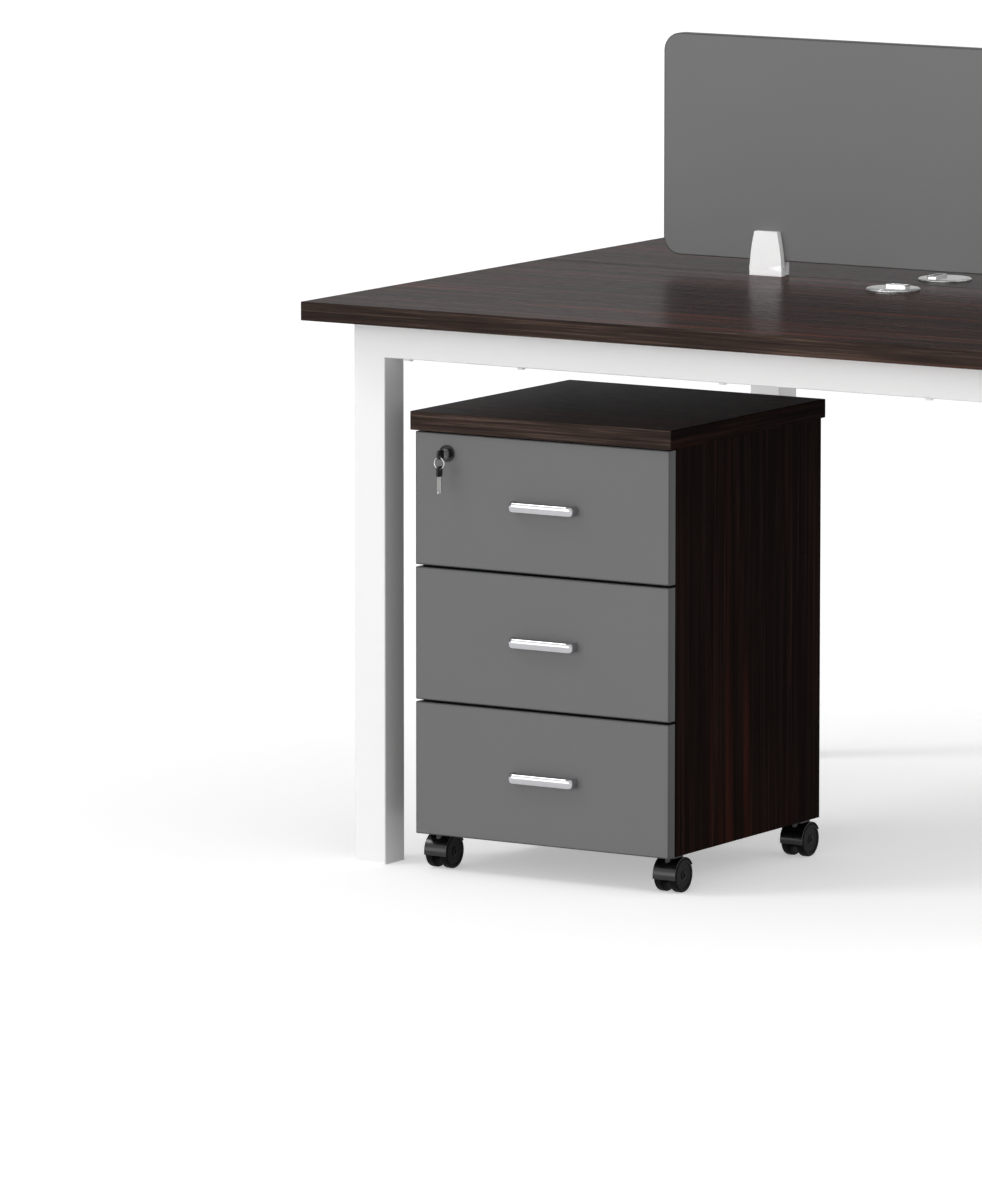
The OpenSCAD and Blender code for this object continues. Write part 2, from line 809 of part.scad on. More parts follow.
// One wheel turned about its axle, inner face at z = 0, outer face dished
module wheel() {
    hub_r = hub_share * wheel_r;
    difference() {
        rotate_extrude() {
            square([wheel_r - tyre_r, wheel_w]);
            translate([0, tyre_r]) square([wheel_r, wheel_w - 2 * tyre_r]);
            for (z = [tyre_r, wheel_w - tyre_r]) translate([wheel_r - tyre_r, z]) circle(tyre_r);
        }
        translate([0, 0, wheel_w - hub_dish]) cylinder(r = hub_r, h = hub_dish + cut);
        translate([0, 0, -cut]) cylinder(r = axle_r + fit, h = wheel_w + 2 * cut);
    }
}

module castor_wheels(x, y) {
    color(black) translate([x, y + castor_trail, wheel_r]) for (s = [-1, 1])
        rotate([0, s * 90, 0]) translate([0, 0, castor_w / 2 - wheel_w]) wheel();
}

worktop(-1);  // worktop_front
worktop(1);  // worktop_rear
leg(-1, -1);  // leg_front_left
leg(1, -1);  // leg_front_right
leg(-1, 1);  // leg_rear_left
leg(1, 1);  // leg_rear_right
rail(-1);  // rail_front
rail(1);  // rail_rear
cross_rail(-1);  // cross_rail_left
cross_rail(1);  // cross_rail_right
centre_beam();
rail_connectors();
connector_screws();
worktop_screws();
leg_end_caps();
screen_panel();
clip_body(-1);  // clip_body_left
clip_body(1);  // clip_body_right
clip_jaw(-1);  // clip_jaw_left
clip_jaw(1);  // clip_jaw_right
clip_screws();
grommet_liner(-1);  // grommet_liner_front
grommet_cap(-1, 0);  // grommet_cap_front
grommet_liner(1);  // grommet_liner_rear
grommet_cap(1, rear_cap_turn);  // grommet_cap_rear
pedestal_top();
pedestal_side(-1);  // pedestal_side_left
pedestal_side(1);  // pedestal_side_right
pedestal_back();
pedestal_base();
lock_rail();
carcass_runners();
drawer_front(2);  // drawer_front_upper
drawer_front(1);  // drawer_front_middle
drawer_front(0);  // drawer_front_lower
drawer_box(2);  // drawer_box_upper
drawer_box(1);  // drawer_box_middle
drawer_box(0);  // drawer_box_lower
drawer_runners(2);  // drawer_runners_upper
drawer_runners(1);  // drawer_runners_middle
drawer_runners(0);  // drawer_runners_lower
handle(2);  // handle_upper
handle(1);  // handle_middle
handle(0);  // handle_lower
lock_barrel();
lock_plug();
lock_cam();
lock_key();
key_ring();
spare_key();
castor_plates();
castor_hood(castor_x_left, castor_y_front);  // castor_hood_front_left
castor_hood(castor_x_right, castor_y_front);  // castor_hood_front_right
castor_hood(castor_x_left, castor_y_rear);  // castor_hood_rear_left
castor_hood(castor_x_right, castor_y_rear);  // castor_hood_rear_right
castor_wheels(castor_x_left, castor_y_front);  // castor_wheels_front_left
castor_wheels(castor_x_right, castor_y_front);  // castor_wheels_front_right
castor_wheels(castor_x_left, castor_y_rear);  // castor_wheels_rear_left
castor_wheels(castor_x_right, castor_y_rear);  // castor_wheels_rear_right
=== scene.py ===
"""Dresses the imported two-user workstation with its finished boards, fittings and finishes.

Sizes are in millimetres in the part's own frame: the origin lies on the floor under the middle
of the workstation, +X runs right along the front edge, +Y to the rear user and +Z up. Each
finished piece is turned to metres as it is made, and its object stays at the origin.
"""

import logging
import math
from dataclasses import dataclass, replace
from enum import Enum
from typing import Callable, Optional, Sequence, Union

import bmesh
import bpy
from mathutils import Matrix, Vector


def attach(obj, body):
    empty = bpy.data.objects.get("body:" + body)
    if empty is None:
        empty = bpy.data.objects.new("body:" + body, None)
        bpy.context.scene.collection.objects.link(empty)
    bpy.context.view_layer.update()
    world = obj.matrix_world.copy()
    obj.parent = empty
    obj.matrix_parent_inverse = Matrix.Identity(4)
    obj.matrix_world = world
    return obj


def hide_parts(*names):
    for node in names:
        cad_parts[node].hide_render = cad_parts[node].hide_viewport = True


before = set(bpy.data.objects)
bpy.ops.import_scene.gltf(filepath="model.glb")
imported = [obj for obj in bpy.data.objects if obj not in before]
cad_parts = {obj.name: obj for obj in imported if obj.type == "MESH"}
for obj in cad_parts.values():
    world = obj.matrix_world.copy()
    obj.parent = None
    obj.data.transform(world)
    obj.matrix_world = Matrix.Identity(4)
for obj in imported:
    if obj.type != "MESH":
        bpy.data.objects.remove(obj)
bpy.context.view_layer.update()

LOG = logging.getLogger("workstation")
MM = 0.001
SHARP = math.radians(38)
# Nearly all values of a noise pattern lie between these two.
MIDDLE = (0.3, 0.7)

Point = tuple[float, float, float]
Flat = tuple[float, float]
Node = bpy.types.Node
Tree = bpy.types.NodeTree
Edge = bmesh.types.BMEdge
Face = bmesh.types.BMFace


def linear(colour: str) -> tuple[float, float, float, float]:
    """Turns a colour as a screen shows it into Blender's linear values.

    Args:
        colour: An sRGB colour written as "#RRGGBB".

    Returns:
        Linear red, green, blue and an alpha of 1.
    """
    parts = [int(colour[i:i + 2], 16) / 255 for i in (1, 3, 5)]
    red, green, blue = (p / 12.92 if p <= 0.04045 else ((p + 0.055) / 1.055) ** 2.4 for p in parts)
    return red, green, blue, 1.0


def per_metre(size: float) -> float:
    """Returns how many features of this size in mm fit in a metre."""
    return 1.0 / (size * MM)


def evenly(size: float) -> Point:
    """Returns pattern scales for features of one size in mm in all directions."""
    return (per_metre(size),) * 3


def at(place: Sequence[float]) -> Matrix:
    """Returns the move from the origin to a place."""
    return Matrix.Translation(place)


def turned(degrees: float, axis: str) -> Matrix:
    """Returns a turn about one of the part's axes."""
    return Matrix.Rotation(math.radians(degrees), 4, axis)


def add(tree: Tree, kind: str, inputs: Optional[dict] = None, **settings: object) -> Node:
    """Adds a node with its settings and its inputs linked or set.

    Args:
        tree: The node tree that gets the node.
        kind: Blender's name of the node's type, without its "ShaderNode".
        inputs: Input name or number to a node, whose first output in use is linked, to an output
            socket, or to a value.
        **settings: The node's own properties.

    Returns:
        The new node.
    """
    node = tree.nodes.new("ShaderNode" + kind)
    for key, value in settings.items():
        setattr(node, key, value)
    for key, value in (inputs or {}).items():
        if isinstance(value, Node):
            value = next(o for o in value.outputs if o.enabled)
        if isinstance(value, bpy.types.NodeSocket):
            tree.links.new(value, node.inputs[key])
        else:
            node.inputs[key].default_value = value
    return node


def noise(tree: Tree, scale: Point, detail: float = 2.0, roughness: float = 0.5) -> Node:
    """Lays a noise pattern over the piece.

    Args:
        tree: The material's node tree.
        scale: Features per metre along each axis.
        detail: Octaves of the noise.
        roughness: Strength of the finer octaves.

    Returns:
        The pattern, whose value lies around 0.5.
    """
    place = add(tree, "TexCoord").outputs["Object"]
    mapped = add(tree, "Mapping", {"Vector": place, "Scale": scale})
    return add(tree, "TexNoise", {"Vector": mapped, "Scale": 1.0, "Detail": detail,
                                  "Roughness": roughness})


def share(tree: Tree, value: Node, low: float, high: float, start: float = 0.0,
          end: float = 1.0) -> Node:
    """Maps a pattern's values from low to high onto those from start to end."""
    return add(tree, "MapRange", {0: value, 1: low, 2: high, 3: start, 4: end})


def blend(tree: Tree, part: Node, first: Union[str, Node], second: str) -> Node:
    """Mixes by a part between 0 and 1 a second colour, "#RRGGBB", into a first one."""
    first = linear(first) if isinstance(first, str) else first
    return add(tree, "Mix", {0: part, 6: first, 7: linear(second)}, data_type="RGBA")


def relief(tree: Tree, height: Node, depth: float, strength: float = 0.25) -> Node:
    """Raises the surface by a pattern whose whole range stands for a depth in mm."""
    return add(tree, "Bump", {"Height": height, "Strength": strength, "Distance": depth * MM})


class Axis(Enum):
    """An axis of the part's frame, used for grain and for a board's thickness."""

    X = 0
    Y = 1
    Z = 2

    def stretched(self, along: float, across: float) -> Point:
        """Returns pattern scales for streaks on this axis, from their sizes in mm."""
        return tuple(per_metre(along if n == self.value else across) for n in range(3))

    def upright(self) -> Matrix:
        """Returns the turn that takes a shape's own z to this axis, keeping it right-handed."""
        unit = Matrix.Identity(3)
        n = self.value
        turn = Matrix((unit[(n + 1) % 3], unit[(n + 2) % 3], unit[n]))
        return turn.transposed().to_4x4()


@dataclass(frozen=True)
class Finish:
    """A real surface finish, made once as a procedural material and shared by its pieces."""

    name: str
    slot: str

    def material(self) -> bpy.types.Material:
        """Returns this finish's material, made when it is first asked for."""
        made = bpy.data.materials.get(self.name)
        if made is None:
            made = bpy.data.materials.new(self.name)
            made.use_nodes = True
            tree = made.node_tree
            tree.nodes.clear()
            add(tree, "OutputMaterial",
                {"Surface": add(tree, "BsdfPrincipled", self.surface(tree))})
        return made

    def surface(self, tree: Tree) -> dict:
        """Returns the shader's inputs; each finish has its own."""
        raise NotImplementedError


@dataclass(frozen=True)
class WoodLaminate(Finish):
    """Melamine laminate printed as dark brown wood, pressed with short pores."""

    grain: Axis = Axis.X
    dark: str = "#0E0807"
    body: str = "#331E17"
    streak: str = "#573A2F"
    red: str = "#6C2C1D"
    gloss: float = 0.26
    sheen_level: float = 0.015
    red_width: float = 20.0
    streak_width: float = 13.0
    red_length: float = 700.0
    streak_stretch: float = 60.0
    band_size: Flat = (900.0, 70.0)
    pore_size: Flat = (16.0, 0.8)  # a real pore is finer; this one shows in the render
    pore_depth: float = 0.05

    def surface(self, tree: Tree) -> dict:
        """Lays streaks, reddish lines and short pores over the dark ground."""
        streak_size = (self.streak_stretch * self.streak_width, self.streak_width)
        bands, streaks, lines, pores = (
            noise(tree, self.grain.stretched(*size), detail, fine) for size, detail, fine in (
                (self.band_size, 3.0, 0.5), (streak_size, 5.0, 0.62),
                ((self.red_length, self.red_width), 2.0, 0.5), (self.pore_size, 2.0, 0.6)))
        reddish = add(tree, "Math", {0: share(tree, lines, 0.56, 0.72),
                                     1: share(tree, bands, 0.42, 0.62)}, operation="MULTIPLY")
        tone = self.dark
        for part, colour in ((share(tree, streaks, 0.36, 0.60), self.body),
                             (share(tree, streaks, 0.54, 0.74), self.streak),
                             (reddish, self.red),
                             (share(tree, pores, 0.60, 0.72, 0.0, 0.75), self.dark)):
            tone = blend(tree, part, tone, colour)
        return {"Base Color": tone, "Specular IOR Level": self.sheen_level,
                "Roughness": share(tree, pores, 0.25, 0.75, self.gloss - 0.05, self.gloss + 0.12),
                "Normal": relief(tree, pores, self.pore_depth, 0.06)}


@dataclass(frozen=True)
class PowderCoat(Finish):
    """Epoxy powder, sprayed on steel and baked, with its slight orange peel."""

    tone: str
    shade: str
    gloss: float
    sheen_level: float = 0.5
    cloud_size: float = 180.0
    peel_size: float = 1.6
    peel_depth: float = 0.03

    def surface(self, tree: Tree) -> dict:
        """Gives a soft uneven gloss and a fine peel."""
        cloud = noise(tree, evenly(self.cloud_size))
        return {"Base Color": blend(tree, share(tree, cloud, *MIDDLE), self.tone, self.shade),
                "Roughness": share(tree, cloud, *MIDDLE, self.gloss - 0.03, self.gloss + 0.05),
                "Specular IOR Level": self.sheen_level,
                "Normal": relief(tree, noise(tree, evenly(self.peel_size)), self.peel_depth)}


@dataclass(frozen=True)
class PlainLaminate(Finish):
    """Plain matt melamine laminate, pressed with a barely visible pearl structure."""

    tone: str
    shade: str
    gloss: float = 0.46
    cloud_size: float = 140.0
    pearl_size: float = 0.9
    pearl_depth: float = 0.04

    def surface(self, tree: Tree) -> dict:
        """Varies the grey a little and adds the pressed pearl structure."""
        cloud = noise(tree, evenly(self.cloud_size), 3.0)
        pearl = noise(tree, evenly(self.pearl_size), 3.0, 0.65)
        tone = blend(tree, share(tree, pearl, *MIDDLE), self.tone, self.shade)
        return {"Base Color": blend(tree, share(tree, cloud, 0.35, 0.65, 0.0, 0.5), tone,
                                    self.shade),
                "Roughness": share(tree, pearl, *MIDDLE, self.gloss - 0.05, self.gloss + 0.07),
                "Normal": relief(tree, pearl, self.pearl_depth)}


@dataclass(frozen=True)
class MouldedPlastic(Finish):
    """Injection-moulded plastic with the fine texture of a spark-eroded mould."""

    tone: str
    worn: str
    gloss: float
    texture: float = 0.35
    sheen_level: float = 0.5
    rub_size: float = 12.0
    texture_depth: float = 0.02

    def surface(self, tree: Tree) -> dict:
        """Lightens rubbed places a little and adds the mould's texture."""
        rub = noise(tree, evenly(self.rub_size), 3.0, 0.6)
        return {"Base Color": blend(tree, share(tree, rub, 0.45, 0.75), self.tone, self.worn),
                "Roughness": share(tree, rub, *MIDDLE, self.gloss - 0.04, self.gloss + 0.08),
                "Specular IOR Level": self.sheen_level,
                "Normal": relief(tree, noise(tree, evenly(self.texture)), self.texture_depth)}


@dataclass(frozen=True)
class BareMetal(Finish):
    """Plated, lacquered or brushed metal with fine lines along one axis."""

    tone: str
    shade: str
    gloss: float
    lines: Axis = Axis.X
    line_width: float = 0.4
    metal: float = 1.0
    line_length: float = 40.0
    stain_size: float = 22.0
    line_depth: float = 0.01

    def surface(self, tree: Tree) -> dict:
        """Adds fine lines, soft stains and an uneven gloss."""
        brushed = noise(tree, self.lines.stretched(self.line_length, self.line_width), 3.0, 0.6)
        stain = noise(tree, evenly(self.stain_size), 3.0)
        return {"Base Color": blend(tree, share(tree, stain, 0.35, 0.75), self.tone, self.shade),
                "Roughness": share(tree, brushed, *MIDDLE, self.gloss * 0.75, self.gloss * 1.3),
                "Metallic": self.metal,
                "Normal": relief(tree, brushed, self.line_depth, 0.2)}


# Satin printed laminate: nearly black brown with long streaks and some reddish lines, and at a
# low angle a soft mirror image of what stands on it.
WOOD_X = WoodLaminate("wood_laminate_grain_x", "dark_wood_board", grain=Axis.X)
# Printed edging strip: the same wood with finer, paler streaks and less shine.
WOOD_EDGE_X = WoodLaminate("wood_edging_grain_x", "dark_wood_board", Axis.X, "#1D1512", "#382B25",
                           "#5C4B42", "#4A2E27", 0.42, 0.08, 5.0, 3.2)
WOOD_EDGE_Y = replace(WOOD_EDGE_X, name="wood_edging_grain_y", grain=Axis.Y)
# Matt carcass laminate: almost black with dim red bands, and hardly any reflection. The copy with
# grain along x, on the pedestal's top and base, keeps a little reflection; the copies with grain
# along y and z, on the sides, the back and most edges, are darker and almost without reflection:
# painted shade for the pedestal's shaded sides.
CARCASS_X = WoodLaminate("carcass_laminate_grain_x", "dark_wood_board", Axis.X, "#120B09",
                         "#1E1310", "#3A241E", "#4A231A", 0.36, 0.02, 14.0, 6.0)
# Darker copy with almost no reflection: painted shade on the pedestal's upright boards and edges.
SHADED_CARCASS_Y = WoodLaminate("carcass_laminate_shaded_grain_y", "dark_wood_board", Axis.Y, "#100A08",
                         "#1C120F", "#30201A", "#3E1E17", 0.4, 0.004, 24.0, 5.0)
SHADED_CARCASS_Z = replace(SHADED_CARCASS_Y, name="carcass_laminate_shaded_grain_z", grain=Axis.Z)
# Matt grey laminate on the drawer fronts: an even middle grey, with darker edging that draws a
# thin line round each front; that edging is also darkened as painted shade, so that the fronts'
# shaded right-hand sides look dark.
GREY_BOARD = PlainLaminate("grey_laminate", "grey_board", "#636363", "#5F5F5F")
GREY_EDGE_AND_SHADE = PlainLaminate("dark_grey_edging_and_painted_shade", "grey_board", "#363737", "#323232", 0.4)
# The screen's laminate is a touch lighter, with the same kind of thin dark outline.
SCREEN_BOARD = PlainLaminate("grey_screen_laminate", "grey_board", "#696969", "#656565")
SCREEN_EDGE = PlainLaminate("grey_screen_edging", "grey_board", "#3C3C3C", "#383838", 0.4)
# Baked powder on the frame: white and smooth, with soft wide highlights.
WHITE_COAT = PowderCoat("white_epoxy_powder_coat", "white_powder_coat", "#F2F2F2", "#EFEFEF", 0.2,
                        0.8)
# Baked powder on the drawer trays: light grey and dull.
SHEET_COAT = PowderCoat("grey_powder_coat", "grey_steel_sheet", "#B4B4B6", "#ACACAE", 0.4)
# Moulded nylon of the clips and leg caps: clean white with a faint satin sheen.
WHITE_PLASTIC = MouldedPlastic("white_moulded_plastic", "white_plastic", "#FCFCFC", "#FAFAFA",
                               0.32)
# Moulded plastic of hoods, lock collar and key grips: black with one clear highlight.
BLACK_PLASTIC = MouldedPlastic("black_moulded_plastic", "black_plastic", "#060606", "#0C0C0C", 0.2)
# The wheels' moulded nylon: deep black discs that show almost no reflection.
WHEEL_NYLON = MouldedPlastic("black_nylon", "black_plastic", "#0A0A0A", "#121212", 0.3, 0.4, 0.08)
# The wheels' softer tread: dull black.
TREAD = MouldedPlastic("wheel_tread", "black_plastic", "#0B0B0B", "#141414", 0.45, 0.6, 0.05)
# Silver lacquer on the grommets: a bright disc that mirrors the room dimly.
SILVER = BareMetal("silver_lacquer", "silver_plastic", "#DEDEDE", "#D2D2D2", 0.12, Axis.X, 0.3,
                   0.8)
# Polished chrome plating on the handles: hard white and grey bands.
CHROME = BareMetal("polished_chrome", "chrome", "#C0C0C3", "#B8B8BB", 0.07, Axis.X, 0.5)
# Zinc plating on runners and brackets: bluish grey and dull.
ZINC = BareMetal("zinc_plated_steel", "steel", "#B9BABF", "#9A9CA3", 0.34, Axis.X, 0.5)
# Nickel plating on key blades and ring: the brightest spots of the lock.
NICKEL = BareMetal("nickel_plated_steel", "steel", "#F0F0EE", "#E2E2E0", 0.1, Axis.Z, 0.3)
# Blackened steel of castor stems and axles: they nearly vanish in the black castor.
DARK_METAL = BareMetal("blackened_steel", "steel", "#3C3C3E", "#2C2C2E", 0.3, Axis.Z, 0.3)
# The lock plug's burnished zinc: a dark grey disc in the black collar.
PLUG_METAL = BareMetal("burnished_zinc", "steel", "#5E5E60", "#48484B", 0.25, Axis.Z, 0.3)


class Blank:
    """A bmesh that is shaped in millimetres and then finished as one piece of the object."""

    def __init__(self) -> None:
        """Starts with nothing."""
        self.bm = bmesh.new()

    def box(self, low: Sequence[float], high: Sequence[float]) -> None:
        """Adds a box between its lowest and its highest corner."""
        low, high = Vector(low), Vector(high)
        made = bmesh.ops.create_cube(self.bm, size=1.0)["verts"]
        bmesh.ops.scale(self.bm, vec=high - low, verts=made)
        bmesh.ops.translate(self.bm, vec=(low + high) / 2, verts=made)

    def cylinder(self, radius: float, start: float, end: float, place: Matrix,
                 segments: int = 48) -> None:
        """Adds a closed cylinder along its own z.

        Args:
            radius: Radius.
            start: Its lower end along its own z.
            end: Its upper end.
            place: Takes its own frame to the part's.
            segments: Sides of its circle.
        """
        made = bmesh.ops.create_cone(self.bm, cap_ends=True, segments=segments, radius1=radius,
                                     radius2=radius, depth=end - start)["verts"]
        bmesh.ops.translate(self.bm, vec=(0, 0, (start + end) / 2), verts=made)
        bmesh.ops.transform(self.bm, matrix=place, verts=made)

    def sheet(self, size: Flat, radius: float, segments: int = 10) -> Face:
        """Adds a flat rectangle with round corners, centred in its own xy plane."""
        made = bmesh.ops.create_grid(self.bm, x_segments=1, y_segments=1, size=0.5)["verts"]
        bmesh.ops.scale(self.bm, vec=(*size, 1), verts=made)
        if radius <= 0:
            return made[0].link_faces[0]
        bmesh.ops.bevel(self.bm, geom=made, offset=radius, segments=segments, profile=0.5,
                        affect="VERTICES", material=-1)
        return max(self.bm.faces, key=lambda f: f.calc_area())

    def open(self, faces: Optional[Sequence[Face]] = None) -> None:
        """Takes these faces away, or all of them, and leaves their outlines."""
        bmesh.ops.delete(self.bm, geom=list(faces or self.bm.faces), context="FACES_ONLY")

    def hollow(self, flats: list[Face], wall: float, even: bool) -> None:
        """Opens a plate between its two flats.

        Args:
            flats: The plate's two large faces.
            wall: Width of the rim that stays.
            even: True if the rim keeps its width round the corners.
        """
        bmesh.ops.inset_region(self.bm, faces=flats, thickness=wall, use_even_offset=even)
        self.open(flats)
        bmesh.ops.bridge_loops(self.bm, edges=[e for e in self.bm.edges if e.is_boundary])

    def punch(self, radius: float, segments: int, x: float, y: float) -> None:
        """Cuts a round hole through the sheet at a place of its own plane."""
        self.open()
        made = bmesh.ops.create_circle(self.bm, cap_ends=False, segments=segments,
                                       radius=radius)["verts"]
        bmesh.ops.translate(self.bm, vec=(x, y, 0), verts=made)
        self.fill_between()

    def outwards(self) -> None:
        """Turns all faces outwards."""
        bmesh.ops.recalc_face_normals(self.bm, faces=self.bm.faces)

    def round_off(self, edges: Sequence[Edge], radius: float, segments: int = 3) -> None:
        """Rounds edges off to a radius."""
        bmesh.ops.bevel(self.bm, geom=list(edges), offset=radius, segments=segments,
                        profile=0.5, affect="EDGES", material=-1, clamp_overlap=True)

    def sharp_edges(self, above: float,
                    keep: Callable[[Vector], bool] = lambda middle: True) -> list[Edge]:
        """Lists the edges that are sharper than an angle.

        Args:
            above: The least angle in degrees between an edge's faces.
            keep: Tells from an edge's middle whether it counts.

        Returns:
            The edges.
        """
        return [e for e in self.bm.edges if len(e.link_faces) == 2
                and e.calc_face_angle(0.0) > math.radians(above)
                and keep((e.verts[0].co + e.verts[1].co) / 2)]

    def soften(self, above: float, radius: float, segments: int = 3) -> None:
        """Rounds all edges off that are sharper than an angle in degrees."""
        self.outwards()
        self.round_off(self.sharp_edges(above), radius, segments)

    def extrude(self, faces: Sequence[Face], way: Point) -> list[Face]:
        """Pushes faces out and returns the faces at their new place."""
        made = bmesh.ops.extrude_face_region(self.bm, geom=list(faces))["geom"]
        bmesh.ops.translate(self.bm, vec=way,
                            verts=[g for g in made if isinstance(g, bmesh.types.BMVert)])
        return [g for g in made if isinstance(g, Face)]

    def thicken(self, height: float) -> None:
        """Raises all its faces along z into a closed solid."""
        self.extrude(self.bm.faces, (0, 0, height))

    def fill_between(self) -> None:
        """Fills the area between all loose outlines, so that inner ones stay holes."""
        bmesh.ops.triangle_fill(self.bm, use_beauty=True, edges=list(self.bm.edges))

    def lathe(self, profile: Sequence[Flat], place: Matrix, steps: int = 64,
              closed: bool = False) -> None:
        """Turns a profile round its own z.

        Args:
            profile: Points as radius and height.
            place: Takes the turned shape's own frame to the part's.
            steps: Steps of the full turn.
            closed: True if the profile's last point joins its first.
        """
        points = [self.bm.verts.new((r, 0, h)) for r, h in profile]
        pairs = list(zip(points, points[1:])) + ([(points[-1], points[0])] if closed else [])
        edges = [self.bm.edges.new(pair) for pair in pairs]
        before = set(self.bm.verts) - set(points)
        bmesh.ops.spin(self.bm, geom=points + edges, cent=(0, 0, 0), axis=(0, 0, 1),
                       dvec=(0, 0, 0), angle=math.tau, steps=steps, use_merge=True,
                       use_duplicate=False)
        made = [v for v in self.bm.verts if v not in before]
        bmesh.ops.remove_doubles(self.bm, verts=made, dist=0.001)
        made = [v for v in self.bm.verts if v not in before]
        bmesh.ops.transform(self.bm, matrix=place, verts=made)

    def place(self, matrix: Matrix) -> None:
        """Moves everything made so far by a matrix."""
        bmesh.ops.transform(self.bm, matrix=matrix, verts=self.bm.verts)

    def join(self, other: "Blank") -> None:
        """Takes over another blank's shape, which ends that blank."""
        carried = bpy.data.meshes.new("carried")
        other.bm.to_mesh(carried)
        other.bm.free()
        self.bm.from_mesh(carried)
        bpy.data.meshes.remove(carried)

    def finish(self, name: str, body: str, finishes: Union[Finish, Sequence[Finish]],
               *nodes: str) -> None:
        """Makes the blank a piece of the object, in metres.

        Args:
            name: The piece's name.
            body: The body that it rides on.
            finishes: Its finish, or one for each material number of its faces.
            *nodes: The CAD nodes that it stands for.
        """
        finishes = [finishes] if isinstance(finishes, Finish) else list(finishes)
        bmesh.ops.remove_doubles(self.bm, verts=self.bm.verts, dist=0.0005)
        self.outwards()
        bmesh.ops.scale(self.bm, vec=(MM, MM, MM), verts=self.bm.verts)
        for face in self.bm.faces:
            face.smooth = True
        mesh = bpy.data.meshes.new(name)
        self.bm.to_mesh(mesh)
        self.bm.free()
        mesh.set_sharp_from_angle(angle=SHARP)
        for each in finishes:
            mesh.materials.append(each.material())
        piece = bpy.data.objects.new(name, mesh)
        bpy.context.scene.collection.objects.link(piece)
        weighted = piece.modifiers.new("flat_faces_shade_flat", "WEIGHTED_NORMAL")
        weighted.keep_sharp = True
        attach(piece, body)
        if nodes:
            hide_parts(*nodes)
        LOG.info("%s: %d faces on %s", name, len(mesh.polygons), body)


def dress_nodes(finish: Finish, *nodes: str) -> None:
    """Gives CAD nodes that stay as they are their finish."""
    for name in nodes:
        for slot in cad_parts[name].material_slots:
            slot.material = finish.material()
        LOG.info("%s keeps its CAD shape, in %s", name, finish.name)


@dataclass
class Board:
    """A laminated board with its glued edging."""

    name: str
    body: str
    low: Point
    high: Point
    thin: Axis
    face_finish: Finish
    edge_finishes: tuple[Finish, Finish]
    band: float = 1.0
    arris: float = 0.5
    corner: float = 0.0
    hole: Optional[Point] = None  # its place along the board's two long axes, and its radius
    hole_steps: int = 72
    core_arris: float = 0.15

    def __post_init__(self) -> None:
        """Works out the board's size, its middle and its turn."""
        n = self.thin.value
        size = [high - low for low, high in zip(self.low, self.high)]
        self.middle = [(low + high) / 2 for low, high in zip(self.low, self.high)]
        self.middle[n] = self.low[n]
        self.across = ((n + 1) % 3, (n + 2) % 3)
        self.flat = tuple(size[i] for i in self.across)
        self.thickness = size[n]
        self.place = at(self.middle) @ self.thin.upright()

    def core(self) -> None:
        """Makes the board itself, between its edgings, with its round hole if it has one."""
        blank = Blank()
        width, height = (s - 2 * self.band for s in self.flat)
        blank.sheet((width, height), max(self.corner - self.band, 0))
        if self.hole:
            x, y = (place - self.middle[i] for place, i in zip(self.hole, self.across))
            blank.punch(self.hole[2], self.hole_steps, x, y)
        blank.thicken(self.thickness)
        rim = blank.sharp_edges(80, lambda m: abs(m.x) > width / 2 - self.corner - 0.01
                                or abs(m.y) > height / 2 - self.corner - 0.01)
        blank.round_off([e for e in rim if abs(e.verts[0].co.z - e.verts[1].co.z) < 0.01],
                        self.core_arris, 1)
        blank.place(self.place)
        blank.finish(self.name + "_board", self.body, self.face_finish, self.name)

    def edging(self) -> None:
        """Makes the strip glued round the board, rounded at its arrises."""
        blank = Blank()
        blank.sheet(self.flat, self.corner)
        blank.thicken(self.thickness)
        blank.soften(60, self.arris)
        blank.hollow([f for f in blank.bm.faces if abs(f.normal.z) > 0.999
                      and f.calc_area() > 0.5 * self.flat[0] * self.flat[1]],
                     self.band - self.arris, True)
        for f in blank.bm.faces:
            middle = f.calc_center_median()
            ends = abs(middle.x) > self.flat[0] / 2 - self.band - self.corner
            f.material_index = 1 if ends and abs(middle.y) < self.flat[1] / 2 - self.band else 0
        blank.place(self.place)
        blank.finish(self.name + "_edging", self.body, self.edge_finishes, self.name)

    def build(self) -> None:
        """Makes the board and its edging."""
        self.core()
        self.edging()


@dataclass
class Worktops:
    """The two laminated worktops that meet at the seam under the screen."""

    half_width: float = 600.0
    seam_half: float = 0.5
    depth: float = 600.0
    top: float = 750.0
    thickness: float = 25.0
    band: float = 2.0
    arris: float = 1.0
    grommet: Flat = (-8.0, 70.0)
    hole: float = 30.0

    def build(self) -> None:
        """Makes both worktops with their edging."""
        for name, side in (("worktop_front", -1), ("worktop_rear", 1)):
            reach = sorted((side * self.seam_half, side * self.depth))
            Board(name, "workstation", (-self.half_width, reach[0], self.top - self.thickness),
                  (self.half_width, reach[1], self.top), Axis.Z, WOOD_X,
                  (WOOD_EDGE_X, WOOD_EDGE_Y), self.band, self.arris,
                  hole=(self.grommet[0], side * self.grommet[1], self.hole)).build()


